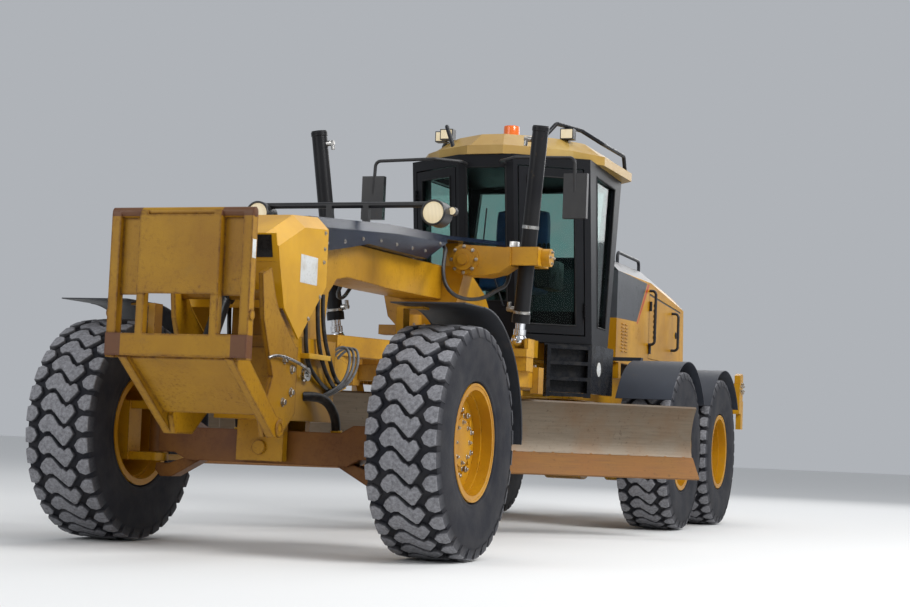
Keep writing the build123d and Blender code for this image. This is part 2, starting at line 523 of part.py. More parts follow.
# Drawbar: two legs from the front pin to the ring plate over the circle, with the eyes for the lift rods.
drawbar_bottom = CIRCLE_TOP + 0.5
with BuildPart() as drawbar:
    with BuildSketch(Plane.XY.offset(drawbar_bottom)):
        with BuildLine():
            Polyline((-75, drawbar_y + 60), (75, drawbar_y + 60), (620, circle_y - 330), (620, circle_y + 120),
                     (430, circle_y + 600), (-430, circle_y + 600), (-620, circle_y + 120), (-620, circle_y - 330),
                     close=True)
        make_face()
        with BuildLine():
            Polyline((-55, drawbar_y + 330), (55, drawbar_y + 330), (440, circle_y - 420), (-440, circle_y - 420),
                     close=True)
        make_face(mode=Mode.SUBTRACT)
        with Locations((0, circle_y)):
            Circle(430, mode=Mode.SUBTRACT)
    extrude(amount=130)
    side_slab([(DRAWBAR_STATION - 70, 990), (DRAWBAR_STATION - 70, 1130), (DRAWBAR_STATION + 160, 1320),
               (DRAWBAR_STATION + 420, 1320), (DRAWBAR_STATION + 420, 1190), (DRAWBAR_STATION + 60, 990)], -88, 88)
    rod((-88, drawbar_y, DRAWBAR_PIN_HEIGHT), (88, drawbar_y, DRAWBAR_PIN_HEIGHT), 32 + PIN_GAP, mode=Mode.SUBTRACT)
    lift_y = FRONT_AXLE_Y + LIFT_EYE[1]
    seat_top = LIFT_EYE[2] - LIFT_BALL_RADIUS - LIFT_SEAT_DROP
    seat_wall = LIFT_BALL_RADIUS + MOVING_GAP
    block((-790, 790), (lift_y - 70, lift_y + 90), (drawbar_bottom, 1300))
    for sign in (-1, 1):
        block((sign * 560, sign * (LIFT_EYE[0] + seat_wall + 28)), (lift_y - 90, lift_y + 90), (1290, seat_top))
        block((sign * (LIFT_EYE[0] + seat_wall), sign * (LIFT_EYE[0] + seat_wall + 28)), (lift_y - 60, lift_y + 90),
              (1290, LIFT_EYE[2] + 10))
        block((sign * (LIFT_EYE[0] - 45), sign * (LIFT_EYE[0] + seat_wall + 28)), (lift_y + seat_wall, lift_y + 90),
              (1290, LIFT_EYE[2] - 5))
    with BuildSketch(Plane.XY.offset(drawbar_bottom - CIRCLE_DEPTH - 40)):
        with Locations((0, circle_y)):
            with PolarLocations(CIRCLE_RADIUS + 12, 6, start_angle=0):
                Rectangle(60, 120)
    extrude(amount=CIRCLE_DEPTH + 80)
    with BuildSketch(Plane.XY.offset(drawbar_bottom - CIRCLE_DEPTH - 1)):
        with Locations((0, circle_y)):
            Circle(CIRCLE_RADIUS + 1)
            Circle(200, mode=Mode.SUBTRACT)
    extrude(amount=CIRCLE_DEPTH + 1, mode=Mode.SUBTRACT)
    with BuildSketch(Plane.XY.offset(drawbar_bottom)):
        with Locations((0, circle_y)):
            with PolarLocations(700, 6, start_angle=0):
                Rectangle(200, 120)
    extrude(amount=40)
    gear_y = circle_y - 530
    block((-360, 360), (gear_y - 130, gear_y + 130), (drawbar_bottom, drawbar_bottom + 130))
    for bottom, top, radius in ((130, 150, 150), (150, 290, 118), (290, 370, 68), (-95, 10, 62)):
        rod((0, gear_y, drawbar_bottom + bottom), (0, gear_y, drawbar_bottom + top), radius)
finish(drawbar.part, "drawbar")

# The blade's own frame: u runs along the blade to its left end, v points forward and z up.
blade_plane = Plane(origin=(0, circle_y, 0), x_dir=(cos(radians(BLADE_ANGLE)), sin(radians(BLADE_ANGLE)), 0),
                    z_dir=(0, 0, 1))


def blade_section(u):
    """A section plane across the blade at a distance along it; its x is rearward and its y is up."""
    return Plane(origin=blade_plane.from_local_coords((u, 0, 0)), x_dir=blade_plane.y_dir,
                 z_dir=blade_plane.x_dir)


def blade_point(u, forward, z):
    """A point given along the blade, forward of the circle's middle and up."""
    return tuple(blade_plane.from_local_coords((u, -forward, z)))


arm_middle = 470
arm_thickness = 55
with BuildPart() as circle:
    with BuildSketch(Plane.XY.offset(CIRCLE_TOP - CIRCLE_DEPTH)):
        with Locations((0, circle_y)):
            Circle(CIRCLE_RADIUS)
            Circle(CIRCLE_BORE_RADIUS, mode=Mode.SUBTRACT)
    extrude(amount=CIRCLE_DEPTH)
    with BuildSketch(Plane.XY.offset(CIRCLE_TOP - CIRCLE_DEPTH)):
        with Locations((0, circle_y)):
            with PolarLocations(CIRCLE_BORE_RADIUS - CIRCLE_TOOTH_DEPTH / 2 + 2, CIRCLE_TOOTH_COUNT):
                Trapezoid(CIRCLE_TOOTH_WIDTH, CIRCLE_TOOTH_DEPTH + 4, 72, rotation=90)
    extrude(amount=CIRCLE_TOOTH_HEIGHT)
    for arm_u in (-arm_middle, arm_middle):
        slab([(545, CIRCLE_TOP - CIRCLE_DEPTH + 5), (430, CIRCLE_TOP - CIRCLE_DEPTH + 5), (130, 720), (150, 590),
              (280, 570), (545, 930)], blade_section(arm_u - arm_thickness / 2), arm_thickness)
    rod(blade_point(-arm_middle, -420, 880), blade_point(arm_middle, -420, 880), 50)
    for lug_u in (-82, 54):
        slab([(390, 880), (400, 985), (420, 1020), (480, 1020), (500, 985), (450, 880)], blade_section(lug_u), 28)
    rod(blade_point(-90, -TIP_TRUNNION[0], TIP_TRUNNION[1]), blade_point(90, -TIP_TRUNNION[0], TIP_TRUNNION[1]),
        TIP_PIVOT_RADIUS + PIN_GAP, mode=Mode.SUBTRACT)
    rod(blade_point(-arm_middle - 40, TIP_PIN_FORWARD, TIP_PIN_HEIGHT),
        blade_point(arm_middle + 40, TIP_PIN_FORWARD, TIP_PIN_HEIGHT), 30 + PIN_GAP, mode=Mode.SUBTRACT)
finish(circle.part, "circle")

carrier_outer = arm_middle + arm_thickness / 2 + MOVING_GAP
with BuildPart() as blade_carrier:
    for sign in (-1, 1):
        near = sign * carrier_outer
        slab([(TIP_PIN_FORWARD * -1 + 62, 590), (TIP_PIN_FORWARD * -1 + 62, 710), (95, 965), (38.5, 965),
              (38.5, 590)], blade_section(near if sign > 0 else near - 45), 45)
        rod(blade_point(sign * (arm_middle - 32), TIP_PIN_FORWARD, TIP_PIN_HEIGHT),
            blade_point(sign * (carrier_outer + 45), TIP_PIN_FORWARD, TIP_PIN_HEIGHT), 30)
    for rail_z in (905, 640):
        slab([(38.5, rail_z - 30), (38.5, rail_z + 60), (85, rail_z + 60), (85, rail_z - 30)],
             blade_section(-carrier_outer), 2 * carrier_outer)
        slab([(20, rail_z + 38), (20, rail_z + 60), (40, rail_z + 60), (40, rail_z + 38)],
             blade_section(-carrier_outer), 2 * carrier_outer)
    for lug_u in (-58, 36):
        slab([(60, 890), (60, 960), (125, 1005), (165, 1000), (180, 965), (160, 925), (120, 890)],
             blade_section(lug_u), 22)
    rod(blade_point(-58, -TIP_EYE[0], TIP_EYE[1]), blade_point(58, -TIP_EYE[0], TIP_EYE[1]), TIP_PIVOT_RADIUS)
    rod(blade_point(-800, -SHIFT_CYLINDER[0], SHIFT_CYLINDER[1]), blade_point(800, -SHIFT_CYLINDER[0], SHIFT_CYLINDER[1]),
        SHIFT_BARREL_RADIUS + SEAT_GAP, mode=Mode.SUBTRACT)
finish(blade_carrier.part, "blade_carrier")

# Tip cylinder: its barrel swings in the circle's lugs and its rod's eye sits loosely on the carrier's pin.
tip_base = Vector(*blade_point(0, -TIP_TRUNNION[0], TIP_TRUNNION[1]))
tip_eye = Vector(*blade_point(0, -TIP_EYE[0], TIP_EYE[1]))
tip_along = (tip_eye - tip_base).normalized()
across = blade_plane.x_dir
with BuildPart() as tip_barrel:
    rod(tuple(tip_base - tip_along * 150), tuple(tip_base + tip_along * 200), TIP_BARREL_RADIUS)
    rod(tuple(tip_base - across * 80), tuple(tip_base + across * 80), TIP_PIVOT_RADIUS)
    rod(tuple(tip_base - tip_along * 120), tuple(tip_base + tip_along * 210), 22 + PIN_GAP, mode=Mode.SUBTRACT)
finish(tip_barrel.part, "tip_barrel")
with BuildPart() as tip_rod:
    rod(tuple(tip_eye - tip_along * 306), tuple(tip_eye - tip_along * 30), 22)
    rod(tuple(tip_eye - across * 29), tuple(tip_eye + across * 29), 40)
    rod(tuple(tip_eye - across * 40), tuple(tip_eye + across * 40), TIP_PIVOT_RADIUS + TIP_PIVOT_DRIFT, mode=Mode.SUBTRACT)
finish(tip_rod.part, "tip_rod")

# Side-shift cylinder: the barrel is clamped in the carrier and the rod ends in a lug behind the moldboard.
with BuildPart() as shift_barrel:
    shift_end = 600
    rod(blade_point(-640, -SHIFT_CYLINDER[0], SHIFT_CYLINDER[1]), blade_point(shift_end, -SHIFT_CYLINDER[0], SHIFT_CYLINDER[1]),
        SHIFT_BARREL_RADIUS)
    rod(blade_point(-625, -SHIFT_CYLINDER[0], SHIFT_CYLINDER[1]),
        blade_point(shift_end + 10, -SHIFT_CYLINDER[0], SHIFT_CYLINDER[1]), SHIFT_ROD_RADIUS + PIN_GAP, mode=Mode.SUBTRACT)
finish(shift_barrel.part, "shift_barrel")
with BuildPart() as shift_rod:
    rod(blade_point(SHIFT_LUG_U - SHIFT_ROD_LENGTH, -SHIFT_CYLINDER[0], SHIFT_CYLINDER[1]),
        blade_point(SHIFT_LUG_U, -SHIFT_CYLINDER[0], SHIFT_CYLINDER[1]), SHIFT_ROD_RADIUS)
finish(shift_rod.part, "shift_rod")

blade_right = -BLADE_LENGTH / 2 - BLADE_SHIFT_AT_REST
curve_middle = (-MOLDBOARD_CURVE_RADIUS, 755)
with BuildPart() as moldboard:
    with BuildSketch(blade_section(blade_right)):
        with BuildLine():
            face = CenterArc(curve_middle, MOLDBOARD_CURVE_RADIUS, -36, 74)
            back = CenterArc(curve_middle, MOLDBOARD_CURVE_RADIUS - MOLDBOARD_THICKNESS, -36, 74)
            Line(face @ 0, back @ 0)
            Line(face @ 1, back @ 1)
        make_face()
    extrude(amount=BLADE_LENGTH)
    for rail_z in (905, 640):
        slab([(-60, rail_z), (38, rail_z), (38, rail_z + 37), (-60, rail_z + 37)], blade_section(-1400), 2700)
    slab([(-60, 760), (110, 760), (110, 840), (-60, 840)], blade_section(SHIFT_LUG_U + SEAT_GAP), 40)
    with BuildSketch(blade_section(blade_right - 5)):
        with Locations(curve_middle):
            Circle(MOLDBOARD_CURVE_RADIUS - MOLDBOARD_THICKNESS)
    extrude(amount=BLADE_LENGTH + 10, mode=Mode.SUBTRACT)
finish(moldboard.part, "moldboard")

edge_top = 755 - MOLDBOARD_CURVE_RADIUS * sin(radians(22))
with BuildPart() as cutting_edge:
    inner_radius = MOLDBOARD_CURVE_RADIUS - MOLDBOARD_THICKNESS - SEAT_GAP
    with BuildSketch(blade_section(blade_right)):
        with BuildLine():
            top = CenterArc(curve_middle, inner_radius, -40, 20)
            lower = (top @ 0) + Vector(-60, -50)
            Polyline(top @ 0, lower, lower + Vector(-16, 10), (top @ 1) + Vector(-18, -4), top @ 1)
        make_face()
    extrude(amount=BLADE_LENGTH)
finish(cutting_edge.part, "cutting_edge")

# Front axle with an upright eye at each end, the C-shaped knuckles that swing on it and the tie rod behind.
YOKE_TOP = (800, 850)
YOKE_BOTTOM = (490, 540)
YOKE_BAR = (940, 1030)
with BuildPart() as front_axle:
    slab([(-712, 552), (-600, 548), (-520, 505), (520, 505), (600, 548), (712, 552), (712, 745), (560, 745),
          (480, 700), (-480, 700), (-560, 745), (-712, 745)], Plane.XZ.offset(-(FRONT_AXLE_Y + 100)), 200)
    for sign in (-1, 1):
        eye_z = (YOKE_BOTTOM[1] + MOVING_GAP, YOKE_TOP[0] - MOVING_GAP)
        rod((sign * KINGPIN_X, FRONT_AXLE_Y, eye_z[0]), (sign * KINGPIN_X, FRONT_AXLE_Y, eye_z[1]), 62)
        block((sign * 690, sign * KINGPIN_X), (FRONT_AXLE_Y - 55, FRONT_AXLE_Y + 55), (560, 740))
        slab([(sign * 430, 515), (sign * 560, 515), (sign * 660, 480), (sign * 745, 480), (sign * 752, 440),
              (sign * 715, 400), (sign * 640, 400)], Plane.XZ.offset(-(FRONT_AXLE_Y + 60)), 120)
        rod((sign * KINGPIN_X, FRONT_AXLE_Y, 480), (sign * KINGPIN_X, FRONT_AXLE_Y, 860), KINGPIN_RADIUS + PIN_GAP,
            mode=Mode.SUBTRACT)
    rod((0, FRONT_AXLE_Y - 110, 600), (0, FRONT_AXLE_Y + 110, 600), 42 + PIN_GAP, mode=Mode.SUBTRACT)
finish(front_axle.part, "front_axle")

arm_end_y = FRONT_AXLE_Y + STEERING_ARM_LENGTH
fender_under = TYRE_RADIUS + 96
for side, sign in SIDES:
    with BuildPart() as knuckle:
        pin_x = sign * KINGPIN_X
        block((sign * YOKE_BAR[0], sign * YOKE_BAR[1]), (FRONT_AXLE_Y - 75, FRONT_AXLE_Y + 75),
              (YOKE_BOTTOM[0], YOKE_TOP[1]))
        for low, high in (YOKE_TOP, YOKE_BOTTOM):
            block((pin_x, sign * YOKE_BAR[1]), (FRONT_AXLE_Y - 55, FRONT_AXLE_Y + 55), (low, high))
            rod((pin_x, FRONT_AXLE_Y, low), (pin_x, FRONT_AXLE_Y, high), 58)
        rod((pin_x, FRONT_AXLE_Y, YOKE_BOTTOM[0]), (pin_x, FRONT_AXLE_Y, YOKE_TOP[1] + 8), KINGPIN_RADIUS)
        rod((sign * YOKE_BAR[0], FRONT_AXLE_Y, TYRE_RADIUS),
            (sign * (FRONT_TRACK / 2 + FRONT_DISC_OFFSET + 20), FRONT_AXLE_Y, TYRE_RADIUS), SPINDLE_RADIUS)
        with BuildSketch(Plane.XY.offset(YOKE_BOTTOM[0] + 4)):
            with Locations((pin_x, (FRONT_AXLE_Y + arm_end_y) / 2)):
                SlotCenterToCenter(STEERING_ARM_LENGTH, 72, rotation=90)
        extrude(amount=34)
        rod((pin_x, arm_end_y, 500), (pin_x, arm_end_y, 572), 14)
        bracket_top = TYRE_RADIUS + fender_under - SEAT_GAP
        block((sign * 790, sign * 838), (FRONT_AXLE_Y - 90, FRONT_AXLE_Y), (YOKE_TOP[1] - 20, bracket_top))
        block((sign * 790, sign * 960), (FRONT_AXLE_Y - 90, FRONT_AXLE_Y), (bracket_top - 14, bracket_top))
    finish(knuckle.part, f"knuckle_{side}")
    with BuildPart() as front_fender:
        arch(Plane.YZ.offset(sign * 850), (FRONT_AXLE_Y, TYRE_RADIUS), fender_under, 7, 0, 90, sign * 450)
        block((sign * 850, sign * 1300), (FRONT_AXLE_Y - 330, FRONT_AXLE_Y),
              (TYRE_RADIUS + fender_under, TYRE_RADIUS + fender_under + 7))
    finish(front_fender.part, f"front_fender_{side}")

with BuildPart() as tie_rod:
    rod((-KINGPIN_X + 16, arm_end_y, 551), (KINGPIN_X - 16, arm_end_y, 551), 17)
    for sign in (-1, 1):
        rod((sign * KINGPIN_X, arm_end_y, 531), (sign * KINGPIN_X, arm_end_y, 571), 32)
        rod((sign * KINGPIN_X, arm_end_y, 525), (sign * KINGPIN_X, arm_end_y, 580), 14 + PIN_GAP, mode=Mode.SUBTRACT)
finish(tie_rod.part, "tie_rod")

# Front lift group: side plates bolted to the nose, and the frame that hinges on their lower pins.
lift_pin = (-650, 712)
with BuildPart() as front_mount:
    for sign in (-1, 1):
        side_slab([(-520, 660), (-720, 660), (-760, 760), (-640, 1000), (-780, 1310), (-820, 1560), (-715, 1600),
                   (-645, 1440), (-595, 1370), (-380, 1200), (-330 - SEAT_GAP, 1160), (-330 - SEAT_GAP, 800)],
                  sign * 262, sign * 290)
        rod((sign * 262, FRONT_AXLE_Y + lift_pin[0], lift_pin[1]), (sign * 352, FRONT_AXLE_Y + lift_pin[0], lift_pin[1]), 28)
    block((-290, 290), (FRONT_AXLE_Y - 365, FRONT_AXLE_Y - 330 - SEAT_GAP), (800, 1180))
    rod((-275, FRONT_AXLE_Y + FRONT_LIFT_PIN[0], FRONT_LIFT_PIN[1]), (275, FRONT_AXLE_Y + FRONT_LIFT_PIN[0], FRONT_LIFT_PIN[1]), 30)
finish(front_mount.part, "front_mount")

# Front lift cylinder on the centre line, hung from the cross tube of the side plates.
front_pin = Vector(0, FRONT_AXLE_Y + FRONT_LIFT_PIN[0], FRONT_LIFT_PIN[1])
front_eye = Vector(0, FRONT_AXLE_Y + FRONT_LIFT_EYE[0], FRONT_LIFT_EYE[1])
front_along = (front_eye - front_pin).normalized()
sideways = Vector(1, 0, 0)
with BuildPart() as front_lift_barrel:
    rod(tuple(front_pin + front_along * 40), tuple(front_pin + front_along * 330), 45)
    rod(tuple(front_pin - sideways * 38), tuple(front_pin + sideways * 38), 55)
    rod(tuple(front_pin + front_along * 90), tuple(front_pin + front_along * 340), 25 + PIN_GAP, mode=Mode.SUBTRACT)
    rod(tuple(front_pin - sideways * 45), tuple(front_pin + sideways * 45), 30 + PIN_GAP, mode=Mode.SUBTRACT)
finish(front_lift_barrel.part, "front_lift_barrel")
with BuildPart() as front_lift_rod:
    rod(tuple(front_eye - front_along * 400), tuple(front_eye - front_along * 30), 25)
    rod(tuple(front_eye - sideways * 32), tuple(front_eye + sideways * 32), 42)
    rod(tuple(front_eye - sideways * 40), tuple(front_eye + sideways * 40), 20 + FRONT_LIFT_DRIFT, mode=Mode.SUBTRACT)
finish(front_lift_rod.part, "front_lift_rod")

with BuildPart() as lift_frame:
    for sign in (-1, 1):
        side_slab([(-1240, 1060), (-1240, 1835), (-1180, 1835), (-1180, 1060)], sign * 370, sign * 425)
        rod((sign * 370, FRONT_AXLE_Y - 1210, 1835), (sign * 425, FRONT_AXLE_Y - 1210, 1835), 30)
        rod((sign * 420, FRONT_AXLE_Y - 1210, 1300), (sign * 434, FRONT_AXLE_Y - 1210, 1300), 27)
        block((sign * 240, sign * 375), (FRONT_AXLE_Y - 1205, FRONT_AXLE_Y - 1190), (1400, 1830))
        side_slab([(-1250, 1080), (-1250, 1850), (-1200, 1850), (-1200, 1080)], sign * 200, sign * 245)
        side_slab([(-1180, 1180), (-1240, 1060), (-700, 660), (-610, 660), (-600, 760), (-680, 780)],
                  sign * (290 + MOVING_GAP), sign * 345)
        side_slab([(-1220, 1060), (-1180, 1060), (-1180, 1180), (-1220, 1180)], sign * 296, sign * 425)
        rod((sign * 296, FRONT_AXLE_Y + lift_pin[0], lift_pin[1]), (sign * 345, FRONT_AXLE_Y + lift_pin[0], lift_pin[1]),
            28 + PIN_GAP, mode=Mode.SUBTRACT)
    block((-425, 425), (FRONT_AXLE_Y - 1250, FRONT_AXLE_Y - 1180), (1070, 1190))
    block((-245, 245), (FRONT_AXLE_Y - 1255, FRONT_AXLE_Y - 1235), (1405, 1830))
    rod((-425, FRONT_AXLE_Y - 1210, 1845), (425, FRONT_AXLE_Y - 1210, 1845), 28)
    side_slab([(-1190, 1060), (-1190, 1090), (-760, 800), (-790, 780)], -345, 345)
    for sign in (-1, 1):
        side_slab([(-1080, 990), (-1010, 1035), (-940, 1035), (-910, 990), (-900, 880)], sign * 39, sign * 64)
    rod((-64, FRONT_AXLE_Y + FRONT_LIFT_EYE[0], FRONT_LIFT_EYE[1]), (64, FRONT_AXLE_Y + FRONT_LIFT_EYE[0], FRONT_LIFT_EYE[1]), 20)
finish(lift_frame.part, "lift_frame")

# Cab: a hollow six-sided body that leans forward, cut for its windows and its two angled doors.
def cab_plan(front_shift, rear_shift):
    """Corner points of the cab's plan, with its front and its rear moved along the machine."""
    front = FRONT_AXLE_Y + CAB_FRONT_STATION + front_shift
    rear = FRONT_AXLE_Y + CAB_REAR_STATION + rear_shift
    widest = front + 355
    corners = [(230, front), (760, widest), (760 - 0.055 * (rear - widest), rear)]
    ring = [(-x, y) for x, y in corners] + [(x, y) for x, y in reversed(corners)]
    return ring


def cab_body(inset, bottom, top, mode=Mode.ADD):
    """Loft the cab's plan from one height to another, moved in by an inset."""
    sections = []
    for z in (bottom, top):
        share = (z - CAB_FLOOR) / (CAB_TOP - CAB_FLOOR)
        with BuildSketch(Plane.XY.offset(z)) as section:
            with BuildLine():
                Polyline(*cab_plan(-CAB_LEAN * share, CAB_REAR_RAKE * share), close=True)
            make_face()
            if inset:
                offset(amount=-inset, kind=Kind.INTERSECTION, mode=Mode.REPLACE)
        sections.append(section.sketch)
    loft(sections, ruled=True, mode=mode)


door_dir = Vector(530, 355, 0).normalized()
door_out = Vector(door_dir.Y, -door_dir.X, 0)


def door_outline(sign, margin):
    """Outline of the door in its own plane, leaning with the pillars; margin moves each edge outward."""
    plane = Plane(origin=(sign * 230, FRONT_AXLE_Y + 3800, 0), x_dir=(sign * door_dir.X, door_dir.Y, 0),
                  z_dir=(sign * door_out.X, door_out.Y, 0))
    lean = -CAB_LEAN * door_dir.Y
    up = 1 if plane.y_dir.Z > 0 else -1
    low, high = 1560 - margin, 2860 + margin
    low_share = (low - CAB_FLOOR) / (CAB_TOP - CAB_FLOOR)
    high_share = (high - CAB_FLOOR) / (CAB_TOP - CAB_FLOOR)
    first, last = 45 - margin, 575 + margin
    points = [(first + lean * low_share, up * low), (last + lean * low_share, up * low),
              (last + lean * high_share, up * high), (first + lean * high_share, up * high)]
    return plane, points


def door_point(sign, along, out, z):
    """A point on a door's wall, given along it, out from its outer face and up."""
    lean = CAB_LEAN * (z - CAB_FLOOR) / (CAB_TOP - CAB_FLOOR)
    return (sign * (230 + along * door_dir.X + out * door_out.X),
            FRONT_AXLE_Y + CAB_FRONT_STATION + along * door_dir.Y + out * door_out.Y - lean, z)


with BuildPart() as cab_shell:
    cab_body(0, CAB_FLOOR, CAB_TOP)
    cab_body(CAB_WALL, CAB_FLOOR + CAB_WALL, CAB_TOP - CAB_WALL, mode=Mode.SUBTRACT)
shell = cab_shell.part

with BuildPart() as glass_layer:
    cab_body(CAB_WALL / 2 - GLASS_THICKNESS / 2, CAB_FLOOR + 10, CAB_TOP - 10)
    cab_body(CAB_WALL / 2 + GLASS_THICKNESS / 2, CAB_FLOOR + 10, CAB_TOP - 10, mode=Mode.SUBTRACT)
layer = glass_layer.part


def quarter_window(margin):
    """Outline of the side window behind the door, in a side view, moved in by a margin."""
    return [(4340 + margin, 1640 + margin), (4640 - margin, 1640 + margin),
            (4890 - 1.2 * margin, 2850 - margin), (4190 + 1.2 * margin, 2850 - margin)]


with BuildPart() as cab_frame:
    add(shell)
    for sign in (-1, 1):
        plane, points = door_outline(sign, DOOR_CLEARANCE)
        slab(points, plane, DOOR_CUT, both=True, mode=Mode.SUBTRACT)
        side_slab(quarter_window(0), sign * 500, sign * 900, mode=Mode.SUBTRACT)
        for hinge_z in HINGE_HEIGHTS:
            for end in (-1, 1):
                lug_z = hinge_z + end * 52
                rod(door_point(sign, HINGE_ALONG, HINGE_OUT, lug_z - 13),
                    door_point(sign, HINGE_ALONG, HINGE_OUT, lug_z + 13), HINGE_RADIUS)
                rod(door_point(sign, HINGE_ALONG, HINGE_OUT, lug_z),
                    door_point(sign, HINGE_ALONG + 22, -20, lug_z), HINGE_RADIUS - 2)
    block((-165, 165), (FRONT_AXLE_Y + 3400, FRONT_AXLE_Y + 4000), (1800, 2850), mode=Mode.SUBTRACT)
    block((-560, 560), (FRONT_AXLE_Y + 4660, FRONT_AXLE_Y + 5300), (1800, 2850), mode=Mode.SUBTRACT)
finish(cab_frame.part, "cab_frame")

with BuildPart() as front_glass:
    add(layer)
    block((-165 + SEAT_GAP, 165 - SEAT_GAP), (FRONT_AXLE_Y + 3400, FRONT_AXLE_Y + 4000),
          (1800 + SEAT_GAP, 2850 - SEAT_GAP), mode=Mode.INTERSECT)
with BuildPart() as rear_glass:
    add(layer)
    block((-560 + SEAT_GAP, 560 - SEAT_GAP), (FRONT_AXLE_Y + 4660, FRONT_AXLE_Y + 5300),
          (1800 + SEAT_GAP, 2850 - SEAT_GAP), mode=Mode.INTERSECT)
quarter_glass = []
for side, sign in SIDES:
    with BuildPart() as pane:
        add(layer)
        side_slab(quarter_window(SEAT_GAP), sign * 500, sign * 900, mode=Mode.INTERSECT)
    quarter_glass.append(pane.part)
with BuildPart() as cab_glass:
    add(front_glass.part)
    add(rear_glass.part)
    add(quarter_glass)
finish(cab_glass.part, "cab_glass")

for side, sign in SIDES:
    plane, points = door_outline(sign, 0)
    window_plane, window = door_outline(sign, -70)
    with BuildPart() as cab_door:
        cab_body(0, CAB_FLOOR, CAB_TOP)
        cab_body(DOOR_THICKNESS, CAB_FLOOR + 10, CAB_TOP - 10, mode=Mode.SUBTRACT)
        slab(points, plane, DOOR_CUT, both=True, mode=Mode.INTERSECT)
        slab(window, window_plane, DOOR_CUT, both=True, mode=Mode.SUBTRACT)
        for hinge_z in HINGE_HEIGHTS:
            rod(door_point(sign, HINGE_ALONG, HINGE_OUT, hinge_z - 35),
                door_point(sign, HINGE_ALONG, HINGE_OUT, hinge_z + 35), HINGE_RADIUS)
            rod(door_point(sign, HINGE_ALONG, HINGE_OUT, hinge_z),
                door_point(sign, HINGE_ALONG - 22, -18, hinge_z), HINGE_RADIUS - 2)
    finish(cab_door.part, f"cab_door_{side}")
    pane_plane, pane_points = door_outline(sign, -70 - SEAT_GAP)
    with BuildPart() as door_glass:
        add(layer)
        slab(pane_points, pane_plane, DOOR_CUT, both=True, mode=Mode.INTERSECT)
    finish(door_glass.part, f"door_glass_{side}")

with BuildPart() as cab_roof:
    roof_plan = [(150, 3560), (460, 3760), (620, 3930), (790, 4250), (790, 5120), (620, 5300)]
    ring = [(-x, FRONT_AXLE_Y + y) for x, y in roof_plan] + [(x, FRONT_AXLE_Y + y) for x, y in reversed(roof_plan)]
    slab(ring, Plane.XY.offset(CAB_TOP + SEAT_GAP), 70)
    for z, inset in ((CAB_TOP + 70, 30), (CAB_TOP + 190, 190)):
        with BuildSketch(Plane.XY.offset(z)):
            with BuildLine():
                Polyline(*ring, close=True)
            make_face()
            offset(amount=-inset, kind=Kind.INTERSECTION, mode=Mode.REPLACE)
    loft(ruled=True)
finish(cab_roof.part, "cab_roof")

with BuildPart() as roof_rails:
    for sign in (-1, 1):
        pipe([(sign * 330, FRONT_AXLE_Y + 3760, CAB_TOP + 60), (sign * 470, FRONT_AXLE_Y + 3930, 3245),
              (sign * 571, FRONT_AXLE_Y + 4300, 3250), (sign * 700, FRONT_AXLE_Y + 4480, 3170),
              (sign * 745, FRONT_AXLE_Y + 5000, 3150), (sign * 740, FRONT_AXLE_Y + 5090, CAB_TOP + 66)], 45, 17)
    add(cab_roof.part, mode=Mode.SUBTRACT)

with BuildPart() as operator_seat:
    seat_y = FRONT_AXLE_Y + 4420
    block((-240, 240), (seat_y - 260, seat_y + 240), (CAB_FLOOR + 430, CAB_FLOOR + 560))
    block((-230, 230), (seat_y + 130, seat_y + 250), (CAB_FLOOR + 560, CAB_FLOOR + 1150))
    block((-130, 130), (seat_y - 130, seat_y + 130), (CAB_FLOOR + CAB_WALL + SEAT_GAP, CAB_FLOOR + 430))
    for sign in (-1, 1):
        block((sign * 235, sign * 375), (seat_y - 230, seat_y + 180), (CAB_FLOOR + 460, CAB_FLOOR + 700))
        rod((sign * 320, seat_y - 190, CAB_FLOOR + 690), (sign * 320, seat_y - 190, CAB_FLOOR + 840), 24)
finish(operator_seat.part, "operator_seat")

with BuildPart() as side_steps:
    for sign in (-1, 1):
        case = [(430, 3945), (760, 4167), (760, 4820), (700, 4820), (700, 4260), (430, 4260)]
        slab([(sign * x, FRONT_AXLE_Y + station) for x, station in case], Plane.XY.offset(1100),
             CAB_FLOOR - SEAT_GAP - 1100)
        ladder = Plane(origin=(sign * 230, FRONT_AXLE_Y + CAB_FRONT_STATION, 0),
                       x_dir=(sign * door_dir.X, door_dir.Y, 0), z_dir=(sign * door_out.X, door_out.Y, 0))
        up = 1 if ladder.y_dir.Z > 0 else -1
        for post in (250, 590):
            slab([(post, up * 1060), (post + 30, up * 1060), (post + 30, up * 1470), (post, up * 1470)],
                 ladder.offset(-20), 90)
        for tread_z in (1065, 1190, 1315, 1440):
            slab([(250, up * tread_z), (620, up * tread_z), (620, up * (tread_z + 28)), (250, up * (tread_z + 28))],
                 ladder.offset(10), 60)
with BuildPart() as steps_and_rails:
    add(side_steps.part)
    add(roof_rails.part)
finish(steps_and_rails.part, "steps_and_rails")

